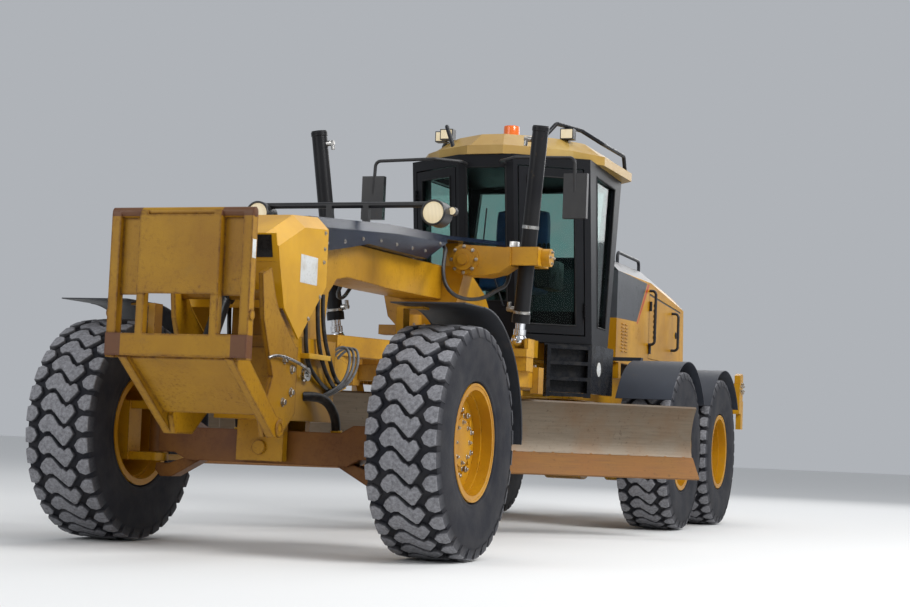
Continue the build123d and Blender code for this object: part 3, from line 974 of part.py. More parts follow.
# Lamps: the beacon and the work lamps on the roof, and the two headlamps on their bar over the hood cover.
with BuildPart() as lamps:
    rod((0, FRONT_AXLE_Y + 4200, CAB_TOP + 190 + SEAT_GAP), (0, FRONT_AXLE_Y + 4200, CAB_TOP + 330), 62)
    for x, station in ((520, 4090), (-480, 3990), (-560, 4090)):
        block((x - 55, x + 55), (FRONT_AXLE_Y + station - 40, FRONT_AXLE_Y + station + 40), (3140, 3228))
    lamp_y = FRONT_AXLE_Y + 950
    rod((-620, lamp_y, 2180), (620, lamp_y, 2180), 20)
    for sign in (-1, 1):
        rod((sign * 620, lamp_y - 70, 2120), (sign * 620, lamp_y + 60, 2120), 84)
        rod((sign * 620, lamp_y + 55, 2120), (sign * 620, lamp_y + 85, 2120), 60)
        rod((sign * 715, lamp_y + 15, 2140), (sign * 715, lamp_y + 60, 2140), 28)
        block((sign * 640, sign * 715), (lamp_y + 25, lamp_y + 50), (2128, 2152))
        block((sign * 110, sign * 150), (lamp_y - 20, lamp_y + 20), (2070, 2180))
finish(lamps.part, "lamps")

with BuildPart() as mirrors:
    for sign in (-1, 1):
        pipe([(sign * 160, FRONT_AXLE_Y + 3630, 2875), (sign * 160, FRONT_AXLE_Y + 3480, 2875),
              (sign * 330, FRONT_AXLE_Y + 3320, 2875), (sign * 820, FRONT_AXLE_Y + 3300, 2860),
              (sign * 830, FRONT_AXLE_Y + 3300, 2600)], 45, 13)
        block((sign * 740, sign * 925), (FRONT_AXLE_Y + 3290, FRONT_AXLE_Y + 3340), (2395, 2740))
    cab_body(-SEAT_GAP, CAB_FLOOR, CAB_TOP, mode=Mode.SUBTRACT)
finish(mirrors.part, "mirrors")
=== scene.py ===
import math

import bmesh
import bpy
from mathutils import Matrix, Vector


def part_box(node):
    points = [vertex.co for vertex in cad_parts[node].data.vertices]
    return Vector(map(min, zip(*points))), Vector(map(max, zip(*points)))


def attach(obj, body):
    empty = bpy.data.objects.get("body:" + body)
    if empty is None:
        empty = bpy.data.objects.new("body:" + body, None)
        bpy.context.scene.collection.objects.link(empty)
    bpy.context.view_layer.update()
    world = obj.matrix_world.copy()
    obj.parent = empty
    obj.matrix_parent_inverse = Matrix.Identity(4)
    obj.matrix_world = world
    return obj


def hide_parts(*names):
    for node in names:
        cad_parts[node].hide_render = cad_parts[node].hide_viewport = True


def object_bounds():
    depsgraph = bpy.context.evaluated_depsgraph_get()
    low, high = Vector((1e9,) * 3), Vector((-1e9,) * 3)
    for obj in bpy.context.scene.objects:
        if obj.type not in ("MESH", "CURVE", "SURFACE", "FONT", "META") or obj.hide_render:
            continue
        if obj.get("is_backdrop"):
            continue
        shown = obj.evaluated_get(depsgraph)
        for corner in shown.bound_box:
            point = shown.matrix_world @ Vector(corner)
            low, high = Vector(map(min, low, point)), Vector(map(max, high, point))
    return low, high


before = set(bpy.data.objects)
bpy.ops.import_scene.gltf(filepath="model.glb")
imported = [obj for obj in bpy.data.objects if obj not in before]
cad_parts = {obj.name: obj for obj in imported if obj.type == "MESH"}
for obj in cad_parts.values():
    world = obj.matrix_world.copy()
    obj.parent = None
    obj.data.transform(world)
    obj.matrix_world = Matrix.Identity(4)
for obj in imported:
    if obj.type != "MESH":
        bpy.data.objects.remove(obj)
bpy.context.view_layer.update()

# The picture: the camera stands ahead of the machine's left front wheel, low over the road, and looks
# slightly up along the machine. The floor and the backdrop are plain and pale, and the light is a soft studio's.
front_axle_y = -3.45
camera_data = bpy.data.cameras.new("camera")
camera_data.sensor_width = 36.0
camera_data.lens = 70.7
camera_data.clip_end = 200.0
camera = bpy.data.objects.new("camera", camera_data)
bpy.context.scene.collection.objects.link(camera)
camera.location = (4.680, -9.632 + front_axle_y, 0.691)
heading = math.radians(20.3)
pitch = math.radians(4.34)
roll = math.radians(-2.30)
look = Vector((-math.sin(heading) * math.cos(pitch), math.cos(heading) * math.cos(pitch), math.sin(pitch)))
level_right = Vector((math.cos(heading), math.sin(heading), 0.0))
level_up = level_right.cross(look)
camera_right = level_right * math.cos(roll) - level_up * math.sin(roll)
camera_up = level_right * math.sin(roll) + level_up * math.cos(roll)
camera.matrix_world = Matrix((
    (camera_right.x, camera_up.x, -look.x, camera.location.x),
    (camera_right.y, camera_up.y, -look.y, camera.location.y),
    (camera_right.z, camera_up.z, -look.z, camera.location.z),
    (0.0, 0.0, 0.0, 1.0),
))
bpy.context.scene.camera = camera
bpy.context.scene.view_settings.view_transform = "Standard"

pale = bpy.data.materials.new("studio_floor")
pale.use_nodes = True
pale_surface = pale.node_tree.nodes["Principled BSDF"]
pale_surface.inputs["Base Color"].default_value = (0.80, 0.80, 0.79, 1.0)
pale_surface.inputs["Roughness"].default_value = 0.9
floor_mesh = bpy.data.meshes.new("studio_floor")
floor_mesh.from_pydata([(-60, -60, -0.002), (60, -60, -0.002), (60, 60, -0.002), (-60, 60, -0.002)], [], [(0, 1, 2, 3)])
studio_floor = bpy.data.objects.new("studio_floor", floor_mesh)
studio_floor.data.materials.append(pale)
bpy.context.scene.collection.objects.link(studio_floor)
studio_floor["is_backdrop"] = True

world = bpy.data.worlds.new("studio")
bpy.context.scene.world = world
world.use_nodes = True
sky = world.node_tree.nodes["Background"]
sky.inputs["Color"].default_value = (0.86, 0.90, 0.96, 1.0)
sky.inputs["Strength"].default_value = 0.50
for name, place, size, power in (
    ("key_light", (10.5, -4.5, 9.0), 6.0, 1350.0),
    ("fill_light", (-6.0, -12.0, 6.0), 7.0, 330.0),
    ("top_light", (1.0, 2.0, 11.0), 8.0, 340.0),
    ("rear_light", (2.0, 12.0, 7.0), 7.0, 320.0),
):
    light_data = bpy.data.lights.new(name, "AREA")
    light_data.size = size
    light_data.energy = power
    light = bpy.data.objects.new(name, light_data)
    bpy.context.scene.collection.objects.link(light)
    light.location = place
    light.rotation_euler = (Vector((0.0, -0.5, 1.2)) - Vector(place)).to_track_quat("-Z", "Y").to_euler()


# The tyres: six earthmover tyres, moulded in one piece. Every pitch of the tread has a slanting double block in
# the middle and a five-sided block on each shoulder; their worn tops are dusty and the rubber between stays dark.
corners = ("front_left", "front_right", "mid_left", "mid_right", "rear_left", "rear_right")
tyre_radius = 0.674
tread_depth = 0.027
pitch_count = 33
shoulder_x = 0.2045
middle_block = [(-118, 4), (-103, 33), (-69, 65), (-39, 69), (-22, 61), (16, 12), (26, 3), (38, 2), (56, -15),
                (80, 3), (97, -2), (118, -41), (105, -61), (67, -110), (50, -112), (-14, -49), (-22, -45),
                (-35, -31), (-60, -31), (-81, -42), (-103, -26)]
shoulder_block = [(126, 20), (147, 53), (169, 67), (207, 65), (207, -20), (177, -31), (143, -16)]
far_shoulder_block = [(-x, -37 - v) for x, v in shoulder_block]


def crown(x):
    """Radius of the tread's worn surface at a distance from the middle."""
    return tyre_radius - 0.012 * (abs(x) / 0.205) ** 2.5


def grown(outline, amount):
    """The outline of a block with every corner moved out by an amount."""
    corners_out = []
    for i, here in enumerate(outline):
        before = Vector(outline[i - 1])
        after = Vector(outline[(i + 1) % len(outline)])
        along = (Vector(here) - before).normalized() + (after - Vector(here)).normalized()
        along.normalize()
        corners_out.append(Vector(here) + Vector((along.y, -along.x)) * amount)
    return corners_out


def wind_outward(outline):
    """The outline's points in anticlockwise order."""
    area = sum(a[0] * b[1] - b[0] * a[1] for a, b in zip(outline, outline[1:] + outline[:1]))
    return outline if area > 0 else outline[::-1]


def tread_pitch():
    """One pitch of blocks, bent round the tyre at the front of the wheel."""
    shape = bmesh.new()
    for outline in (middle_block, shoulder_block, far_shoulder_block):
        outline = wind_outward([(x / 1000, v / 1000) for x, v in outline])
        rings = []
        for amount, depth in ((0.005, tread_depth), (0.0012, 0.004), (-0.001, 0.0012), (-0.0035, 0.0)):
            rings.append([shape.verts.new((p.x, p.y, -depth)) for p in grown(outline, amount)])
        for outer, inner in zip(rings, rings[1:]):
            for i in range(len(outer)):
                j = (i + 1) % len(outer)
                shape.faces.new((outer[i], outer[j], inner[j], inner[i]))
        shape.faces.new(rings[-1])
    for axis, cuts in (((0, 1, 0), range(-120, 130, 24)), ((1, 0, 0), (-150, -90, -45, 0, 45, 90, 150))):
        for cut in cuts:
            everything = shape.verts[:] + shape.edges[:] + shape.faces[:]
            place = Vector(axis) * (cut / 1000 + 0.0003)
            bmesh.ops.bisect_plane(shape, geom=everything, plane_co=place, plane_no=Vector(axis))
    bmesh.ops.triangulate(shape, faces=[f for f in shape.faces if len(f.verts) > 4])
    worn = shape.verts.layers.float.new("worn")
    for vert in shape.verts:
        x, v, depth = vert.co.x, vert.co.y, -vert.co.z
        share = depth / tread_depth
        radius = crown(x) - depth
        if abs(x) > shoulder_x:
            radius = crown(0.207) - 0.060 * share
            x = math.copysign(0.207 + 0.0135 * share, x)
        angle = v / tyre_radius
        vert[worn] = max(0.0, 1.0 - share * 5.0)
        vert.co = (x, -radius * math.cos(angle), radius * math.sin(angle))
    mesh = bpy.data.meshes.new("tread_pitch")
    shape.to_mesh(mesh)
    shape.free()
    return bpy.data.objects.new("tread_pitch", mesh)


def turned(name, profile, steps):
    """A closed ring turned round the X axis from a loop of (x, radius) points."""
    shape = bmesh.new()
    rings = []
    for step in range(steps):
        angle = 2 * math.pi * step / steps
        rings.append([shape.verts.new((x, -r * math.cos(angle), r * math.sin(angle))) for x, r in profile])
    for a, b in zip(rings, rings[1:] + rings[:1]):
        for i in range(len(profile)):
            j = (i + 1) % len(profile)
            shape.faces.new((a[i], a[j], b[j], b[i]))
    bmesh.ops.recalc_face_normals(shape, faces=shape.faces[:])
    mesh = bpy.data.meshes.new(name)
    shape.to_mesh(mesh)
    shape.free()
    return mesh


def soften(mesh, limit=40.0):
    """Smooth shading with the corners sharper than a limit left hard."""
    shape = bmesh.new()
    shape.from_mesh(mesh)
    for face in shape.faces:
        face.smooth = True
    for edge in shape.edges:
        if len(edge.link_faces) != 2 or edge.calc_face_angle() > math.radians(limit):
            edge.smooth = False
    shape.to_mesh(mesh)
    shape.free()


side_wall = [(0.178, 0.3185), (0.178, 0.344), (0.190, 0.350), (0.199, 0.353), (0.203, 0.362), (0.201, 0.371),
             (0.206, 0.386), (0.2135, 0.420), (0.2135, 0.424), (0.2170, 0.440), (0.2205, 0.475), (0.2222, 0.510),
             (0.2218, 0.545), (0.2195, 0.578), (0.2190, 0.582), (0.2175, 0.600), (0.2120, 0.622), (0.205, 0.6345)]
crown_base = [(0.15, crown(0.15) - tread_depth), (0.10, crown(0.10) - tread_depth),
              (0.05, crown(0.05) - tread_depth), (0.0, crown(0.0) - tread_depth)]
half_profile = side_wall + crown_base
casing_profile = half_profile + [(-x, r) for x, r in half_profile[-2::-1]]
casing_mesh = turned("tyre_casing", casing_profile, pitch_count * 4)
tyre_casing = bpy.data.objects.new("tyre_casing", casing_mesh)
pitch_of_tread = tread_pitch()
for part in (tyre_casing, pitch_of_tread):
    bpy.context.scene.collection.objects.link(part)

tyre_rubber = bpy.data.materials.new("tyre_rubber")
tyre_rubber.use_nodes = True
tree = tyre_rubber.node_tree
rubber = tree.nodes["Principled BSDF"]
rubber.inputs["Roughness"].default_value = 0.72
rubber.inputs["Specular IOR Level"].default_value = 0.3
place = tree.nodes.new("ShaderNodeTexCoord")
top_wear = tree.nodes.new("ShaderNodeAttribute")
top_wear.attribute_name = "worn"
grit = tree.nodes.new("ShaderNodeTexNoise")
grit.inputs["Scale"].default_value = 55.0
grit.inputs["Detail"].default_value = 8.0
grit.inputs["Roughness"].default_value = 0.7
tree.links.new(place.outputs["Object"], grit.inputs["Vector"])
dust = tree.nodes.new("ShaderNodeValToRGB")
dust.color_ramp.elements[0].position = 0.30
dust.color_ramp.elements[0].color = (0.105, 0.105, 0.115, 1.0)
dust.color_ramp.elements[1].position = 0.68
dust.color_ramp.elements[1].color = (0.30, 0.30, 0.32, 1.0)
tree.links.new(grit.outputs["Fac"], dust.inputs["Fac"])
smear = tree.nodes.new("ShaderNodeTexNoise")
smear.inputs["Scale"].default_value = 7.0
smear.inputs["Detail"].default_value = 5.0
tree.links.new(place.outputs["Object"], smear.inputs["Vector"])
dark = tree.nodes.new("ShaderNodeValToRGB")
dark.color_ramp.elements[0].position = 0.35
dark.color_ramp.elements[0].color = (0.009, 0.010, 0.016, 1.0)
dark.color_ramp.elements[1].position = 0.75
dark.color_ramp.elements[1].color = (0.030, 0.029, 0.032, 1.0)
tree.links.new(smear.outputs["Fac"], dark.inputs["Fac"])
mixed = tree.nodes.new("ShaderNodeMix")
mixed.data_type = "RGBA"
tree.links.new(top_wear.outputs["Fac"], mixed.inputs["Factor"])
tree.links.new(dark.outputs["Color"], mixed.inputs["A"])
tree.links.new(dust.outputs["Color"], mixed.inputs["B"])
tree.links.new(mixed.outputs["Result"], rubber.inputs["Base Color"])
relief = tree.nodes.new("ShaderNodeBump")
relief.inputs["Strength"].default_value = 0.5
relief.inputs["Distance"].default_value = 0.003
tree.links.new(grit.outputs["Fac"], relief.inputs["Height"])
tree.links.new(relief.outputs["Normal"], rubber.inputs["Normal"])

ring = bpy.data.node_groups.new("tread_ring", "GeometryNodeTree")
ring.interface.new_socket("Casing", in_out="INPUT", socket_type="NodeSocketGeometry")
pitch_socket = ring.interface.new_socket("Pitch of blocks", in_out="INPUT", socket_type="NodeSocketObject")
count_socket = ring.interface.new_socket("Number of pitches", in_out="INPUT", socket_type="NodeSocketInt")
rubber_socket = ring.interface.new_socket("Rubber", in_out="INPUT", socket_type="NodeSocketMaterial")
ring.interface.new_socket("Tyre", in_out="OUTPUT", socket_type="NodeSocketGeometry")
given = ring.nodes.new("NodeGroupInput")
made = ring.nodes.new("NodeGroupOutput")
around = ring.nodes.new("GeometryNodePoints")
number = ring.nodes.new("GeometryNodeInputIndex")
share = ring.nodes.new("ShaderNodeMath")
share.operation = "DIVIDE"
angle = ring.nodes.new("ShaderNodeMath")
angle.operation = "MULTIPLY"
angle.inputs[1].default_value = 2 * math.pi
turn = ring.nodes.new("ShaderNodeCombineXYZ")
blocks = ring.nodes.new("GeometryNodeObjectInfo")
repeat = ring.nodes.new("GeometryNodeInstanceOnPoints")
joined = ring.nodes.new("GeometryNodeJoinGeometry")
real = ring.nodes.new("GeometryNodeRealizeInstances")
coat = ring.nodes.new("GeometryNodeSetMaterial")
ring.links.new(given.outputs["Number of pitches"], around.inputs["Count"])
ring.links.new(number.outputs["Index"], share.inputs[0])
ring.links.new(given.outputs["Number of pitches"], share.inputs[1])
ring.links.new(share.outputs["Value"], angle.inputs[0])
ring.links.new(angle.outputs["Value"], turn.inputs["X"])
ring.links.new(given.outputs["Pitch of blocks"], blocks.inputs["Object"])
ring.links.new(around.outputs["Points"], repeat.inputs["Points"])
ring.links.new(blocks.outputs["Geometry"], repeat.inputs["Instance"])
ring.links.new(turn.outputs["Vector"], repeat.inputs["Rotation"])
ring.links.new(repeat.outputs["Instances"], joined.inputs["Geometry"])
ring.links.new(given.outputs["Casing"], joined.inputs["Geometry"])
ring.links.new(joined.outputs["Geometry"], real.inputs["Geometry"])
ring.links.new(real.outputs["Geometry"], coat.inputs["Geometry"])
ring.links.new(given.outputs["Rubber"], coat.inputs["Material"])
ring.links.new(coat.outputs["Geometry"], made.inputs["Tyre"])
tread = tyre_casing.modifiers.new("tread_ring", "NODES")
tread.node_group = ring
tread[pitch_socket.identifier] = pitch_of_tread
tread[count_socket.identifier] = pitch_count
tread[rubber_socket.identifier] = tyre_rubber
seen = bpy.context.evaluated_depsgraph_get()
whole_tyre = bpy.data.meshes.new_from_object(tyre_casing.evaluated_get(seen))
soften(whole_tyre, 32.0)
for part in (tyre_casing, pitch_of_tread):
    bpy.data.objects.remove(part)
for corner in corners:
    low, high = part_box(f"tyre_{corner}")
    mesh = whole_tyre.copy()
    mesh.transform(Matrix.Translation((low + high) / 2))
    tyre = bpy.data.objects.new(f"block_tyre_{corner}", mesh)
    bpy.context.scene.collection.objects.link(tyre)
    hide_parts(f"tyre_{corner}")
    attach(tyre, f"wheel_{corner}_body")

# The rims: pressed steel wheels with a welded band and a flanged disc, painted yellow and dusty from the road.
# Ten plated nuts clamp each disc to its hub, and the front hubs have a bolted cap.
def turned_bar(shape, start, end, profile, sides=24):
    """Turn (distance along, radius) pairs about a line between two points, and close the ends."""
    start = Vector(start)
    along = (Vector(end) - start).normalized()
    across = along.orthogonal().normalized()
    upward = along.cross(across)
    rings = []
    for distance, radius in profile:
        ring = []
        for side in range(sides):
            angle = 2 * math.pi * side / sides
            ring.append(shape.verts.new(start + along * distance
                                        + (across * math.cos(angle) + upward * math.sin(angle)) * radius))
        rings.append(ring)
    for first, second in zip(rings, rings[1:]):
        for side in range(sides):
            after = (side + 1) % sides
            shape.faces.new((first[side], first[after], second[after], second[side]))
    shape.faces.new(rings[0][::-1])
    shape.faces.new(rings[-1])


def round_bar(shape, start, end, radius, edge=0.002, sides=24):
    """A round bar with broken edges."""
    length = (Vector(end) - Vector(start)).length
    turned_bar(shape, start, end, [(0.0, radius - edge), (edge, radius), (length - edge, radius),
                                   (length, radius - edge)], sides)


def soft_box(shape, low, high, edge=0.003, turn=None):
    """A box between two corners with rounded edges, turned about its middle if asked."""
    low, high = Vector(low), Vector(high)
    middle, size = (low + high) / 2, high - low
    place = Matrix.Translation(middle) @ (turn.to_4x4() if turn else Matrix()) @ Matrix.Diagonal((*size, 1.0))
    made = bmesh.ops.create_cube(shape, size=1.0, matrix=place)["verts"]
    edges = list({edge_ for vert in made for edge_ in vert.link_edges})
    bmesh.ops.bevel(shape, geom=edges, offset=edge, segments=2, profile=0.7, affect="EDGES")


def settle(name, shape, material, body, limit=35.0):
    """Finish a shape as a piece that moves with a body."""
    bmesh.ops.remove_doubles(shape, verts=shape.verts[:], dist=0.00001)
    bmesh.ops.recalc_face_normals(shape, faces=shape.faces[:])
    mesh = bpy.data.meshes.new(name)
    shape.to_mesh(mesh)
    shape.free()
    soften(mesh, limit)
    return place_piece(name, mesh, material, body)


def place_piece(name, mesh, material, body):
    """Link a finished mesh, and say its finish and the body it moves with."""
    mesh.materials.clear()
    mesh.materials.append(material)
    piece = bpy.data.objects.new(name, mesh)
    bpy.context.scene.collection.objects.link(piece)
    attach(piece, body)
    return piece


def dress(names, material):
    """Give CAD nodes one finish in every slot."""
    for name in names:
        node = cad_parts[name]
        if not node.data.materials:
            node.data.materials.append(material)
        for slot in node.material_slots:
            slot.material = material


def new_surface(name, roughness, metallic=0.0):
    """A material with its tree, its shader and the object's own coordinates."""
    material = bpy.data.materials.new(name)
    material.use_nodes = True
    tree = material.node_tree
    shader = tree.nodes["Principled BSDF"]
    shader.inputs["Roughness"].default_value = roughness
    shader.inputs["Metallic"].default_value = metallic
    coordinates = tree.nodes.new("ShaderNodeTexCoord").outputs["Object"]
    return material, tree, shader, coordinates


def cloud(tree, coordinates, scale, detail=6.0, stretch=None, roughness=0.6):
    """Cloudy noise from 0 to 1, drawn out along an axis if asked."""
    if stretch:
        mapping = tree.nodes.new("ShaderNodeMapping")
        mapping.inputs["Scale"].default_value = stretch
        tree.links.new(coordinates, mapping.inputs["Vector"])
        coordinates = mapping.outputs["Vector"]
    noise = tree.nodes.new("ShaderNodeTexNoise")
    noise.inputs["Scale"].default_value = scale
    noise.inputs["Detail"].default_value = detail
    noise.inputs["Roughness"].default_value = roughness
    tree.links.new(coordinates, noise.inputs["Vector"])
    return noise.outputs["Fac"]


def between(tree, value, low, high):
    """How far a value is from low to high, held to 0 and 1."""
    remap = tree.nodes.new("ShaderNodeMapRange")
    remap.inputs["From Min"].default_value = low
    remap.inputs["From Max"].default_value = high
    tree.links.new(value, remap.inputs["Value"])
    return remap.outputs["Result"]


def combine(tree, operation, first, second):
    """One arithmetic step on two values, each a socket or a number."""
    node = tree.nodes.new("ShaderNodeMath")
    node.operation = operation
    for socket, value in zip(node.inputs, (first, second)):
        if isinstance(value, (int, float)):
            socket.default_value = value
        else:
            tree.links.new(value, socket)
    return node.outputs["Value"]


def lay_over(tree, share, under, over):
    """One colour laid over another by a share; each colour is a socket or three numbers."""
    mix = tree.nodes.new("ShaderNodeMix")
    mix.data_type = "RGBA"
    tree.links.new(share, mix.inputs["Factor"])
    for name, colour in (("A", under), ("B", over)):
        if isinstance(colour, tuple):
            mix.inputs[name].default_value = (*colour, 1.0)
        else:
            tree.links.new(colour, mix.inputs[name])
    return mix.outputs["Result"]


def worn_edges(tree, radius):
    """1 along a solid's outer edges, where paint is rubbed off, and 0 on its faces."""
    rounded = tree.nodes.new("ShaderNodeBevel")
    rounded.samples = 4
    rounded.inputs["Radius"].default_value = radius
    true = tree.nodes.new("ShaderNodeNewGeometry")
    dot = tree.nodes.new("ShaderNodeVectorMath")
    dot.operation = "DOT_PRODUCT"
    tree.links.new(rounded.outputs["Normal"], dot.inputs[0])
    tree.links.new(true.outputs["True Normal"], dot.inputs[1])
    return between(tree, dot.outputs["Value"], 0.992, 0.90)


def machine_paint(name, colour, shade, rust=0.35, dust=0.35, edges=0.010, roughness=0.36,
                  rust_colour=(0.085, 0.026, 0.008), specular=0.35, dust_colour=(0.17, 0.115, 0.055)):
    """Enamel on steel: cloudy fading, dust, rust freckles, chipped edges and fine orange-peel."""
    material, tree, shader, coordinates = new_surface(name, roughness)
    shader.inputs["Specular IOR Level"].default_value = specular
    fading = between(tree, cloud(tree, coordinates, 1.7, 5.0), 0.36, 0.66)
    body = lay_over(tree, fading, shade, colour)
    runs = between(tree, cloud(tree, coordinates, 9.0, 5.0, stretch=(1.0, 1.0, 0.14)), 0.58, 0.80)
    body = lay_over(tree, combine(tree, "MULTIPLY", runs, 0.45 * dust + 0.1), body, tuple(c * 0.45 for c in shade))
    grime = between(tree, cloud(tree, coordinates, 4.5, 9.0, roughness=0.72), 0.72 - 0.42 * dust, 0.86)
    body = lay_over(tree, combine(tree, "MULTIPLY", grime, 0.6), body, dust_colour)
    patches = between(tree, cloud(tree, coordinates, 3.1, 4.0), 0.62 - 0.30 * rust, 0.80)
    freckles = between(tree, cloud(tree, coordinates, 46.0, 6.0, roughness=0.7), 0.62 - 0.14 * rust, 0.70)
    rusted = combine(tree, "MULTIPLY", patches, freckles)
    if edges:
        ragged = between(tree, cloud(tree, coordinates, 21.0, 6.0, roughness=0.75), 0.60 - 0.35 * rust, 0.62)
        rusted = combine(tree, "MAXIMUM", rusted, combine(tree, "MULTIPLY", worn_edges(tree, edges), ragged))
    body = lay_over(tree, rusted, body, rust_colour)
    tree.links.new(body, shader.inputs["Base Color"])
    dulled = combine(tree, "MAXIMUM", rusted, grime)
    tree.links.new(combine(tree, "ADD", combine(tree, "MULTIPLY", dulled, 0.42), roughness),
                   shader.inputs["Roughness"])
    relief = tree.nodes.new("ShaderNodeBump")
    relief.inputs["Strength"].default_value = 0.35
    relief.inputs["Distance"].default_value = 0.002
    height = combine(tree, "SUBTRACT", cloud(tree, coordinates, 130.0, 2.0),
                     combine(tree, "MULTIPLY", rusted, 0.8))
    tree.links.new(height, relief.inputs["Height"])
    tree.links.new(relief.outputs["Normal"], shader.inputs["Normal"])
    return material


def plated_metal(name, colour, tarnish, roughness, grain=(1.0, 1.0, 1.0), metallic=1.0):
    """Bare or plated metal with tarnish, grease and fine scratches along a direction."""
    material, tree, shader, coordinates = new_surface(name, roughness, metallic)
    shader.inputs["Specular IOR Level"].default_value = 0.5 if metallic else 0.2
    dirt = between(tree, cloud(tree, coordinates, 14.0, 7.0), 0.48, 0.74)
    scratch = cloud(tree, coordinates, 60.0, 3.0, stretch=grain)
    body = lay_over(tree, combine(tree, "MULTIPLY", dirt, 0.8), colour, tarnish)
    tree.links.new(body, shader.inputs["Base Color"])
    tree.links.new(combine(tree, "ADD", combine(tree, "MULTIPLY", dirt, 0.35),
                           combine(tree, "MULTIPLY", scratch, roughness * 1.6)), shader.inputs["Roughness"])
    relief = tree.nodes.new("ShaderNodeBump")
    relief.inputs["Strength"].default_value = 0.15
    relief.inputs["Distance"].default_value = 0.001
    tree.links.new(scratch, relief.inputs["Height"])
    tree.links.new(relief.outputs["Normal"], shader.inputs["Normal"])
    return material


rim_yellow = machine_paint("rim_yellow", (0.50, 0.245, 0.006), (0.36, 0.150, 0.005), rust=0.30, dust=0.40, edges=0.006)
plated_nut = plated_metal("plated_nut", (0.46, 0.42, 0.36), (0.14, 0.09, 0.05), 0.36)
dress([f"rim_{corner}" for corner in corners], rim_yellow)

nut_shape = bmesh.new()
turned_bar(nut_shape, (0, 0, 0), (0.005, 0, 0), [(0.0, 0.0245), (0.003, 0.0245), (0.005, 0.023)], 24)
turned_bar(nut_shape, (0.0045, 0, 0), (0.0265, 0, 0), [(0.0, 0.0192), (0.018, 0.0192), (0.022, 0.0165)], 6)
turned_bar(nut_shape, (0.02, 0, 0), (0.037, 0, 0), [(0.0, 0.0095), (0.014, 0.0095), (0.016, 0.0078)], 14)
bmesh.ops.recalc_face_normals(nut_shape, faces=nut_shape.faces[:])
nut_mesh = bpy.data.meshes.new("wheel_nut")
nut_shape.to_mesh(nut_mesh)
nut_shape.free()

bolt_circle = bpy.data.node_groups.new("bolt_circle", "GeometryNodeTree")
bolt_circle.interface.new_socket("Start", in_out="INPUT", socket_type="NodeSocketGeometry")
bolt_socket = bolt_circle.interface.new_socket("Bolt", in_out="INPUT", socket_type="NodeSocketObject")
bolt_count_socket = bolt_circle.interface.new_socket("Number of bolts", in_out="INPUT", socket_type="NodeSocketInt")
bolt_radius_socket = bolt_circle.interface.new_socket("Circle radius", in_out="INPUT", socket_type="NodeSocketFloat")
bolt_size_socket = bolt_circle.interface.new_socket("Size", in_out="INPUT", socket_type="NodeSocketFloat")
plating_socket = bolt_circle.interface.new_socket("Plating", in_out="INPUT", socket_type="NodeSocketMaterial")
bolt_circle.interface.new_socket("Bolts", in_out="OUTPUT", socket_type="NodeSocketGeometry")
given = bolt_circle.nodes.new("NodeGroupInput")
made = bolt_circle.nodes.new("NodeGroupOutput")
circle = bolt_circle.nodes.new("GeometryNodeMeshCircle")
info = bolt_circle.nodes.new("GeometryNodeObjectInfo")
repeat = bolt_circle.nodes.new("GeometryNodeInstanceOnPoints")
real = bolt_circle.nodes.new("GeometryNodeRealizeInstances")
coat = bolt_circle.nodes.new("GeometryNodeSetMaterial")
stand = bolt_circle.nodes.new("GeometryNodeTransform")
stand.inputs["Rotation"].default_value = (0.0, math.pi / 2, 0.0)
bolt_circle.links.new(given.outputs["Number of bolts"], circle.inputs["Vertices"])
bolt_circle.links.new(given.outputs["Circle radius"], circle.inputs["Radius"])
bolt_circle.links.new(circle.outputs["Mesh"], stand.inputs["Geometry"])
bolt_circle.links.new(stand.outputs["Geometry"], repeat.inputs["Points"])
bolt_circle.links.new(given.outputs["Bolt"], info.inputs["Object"])
bolt_circle.links.new(info.outputs["Geometry"], repeat.inputs["Instance"])
bolt_circle.links.new(given.outputs["Size"], repeat.inputs["Scale"])
bolt_circle.links.new(repeat.outputs["Instances"], real.inputs["Geometry"])
bolt_circle.links.new(real.outputs["Geometry"], coat.inputs["Geometry"])
bolt_circle.links.new(given.outputs["Plating"], coat.inputs["Material"])
bolt_circle.links.new(coat.outputs["Geometry"], made.inputs["Bolts"])


def ring_of_bolts(name, count, radius, size, centre, facing, body, plating=plated_nut):
    """Bolts on a circle round a centre, their heads facing along a direction."""
    carrier = bpy.data.objects.new(name + "_carrier", bpy.data.meshes.new(name + "_carrier"))
    wheel_nut = bpy.data.objects.new("wheel_nut", nut_mesh)
    for part in (carrier, wheel_nut):
        bpy.context.scene.collection.objects.link(part)
    nodes = carrier.modifiers.new("bolt_circle", "NODES")
    nodes.node_group = bolt_circle
    nodes[bolt_socket.identifier] = wheel_nut
    nodes[bolt_count_socket.identifier] = count
    nodes[bolt_radius_socket.identifier] = radius
    nodes[bolt_size_socket.identifier] = size
    nodes[plating_socket.identifier] = plating
    mesh = bpy.data.meshes.new_from_object(carrier.evaluated_get(bpy.context.evaluated_depsgraph_get()))
    for part in (carrier, wheel_nut):
        bpy.data.objects.remove(part)
    mesh.transform(Matrix.Translation(centre) @ Vector(facing).to_track_quat("X", "Z").to_matrix().to_4x4())
    soften(mesh, 30.0)
    return place_piece(name, mesh, plating, body)


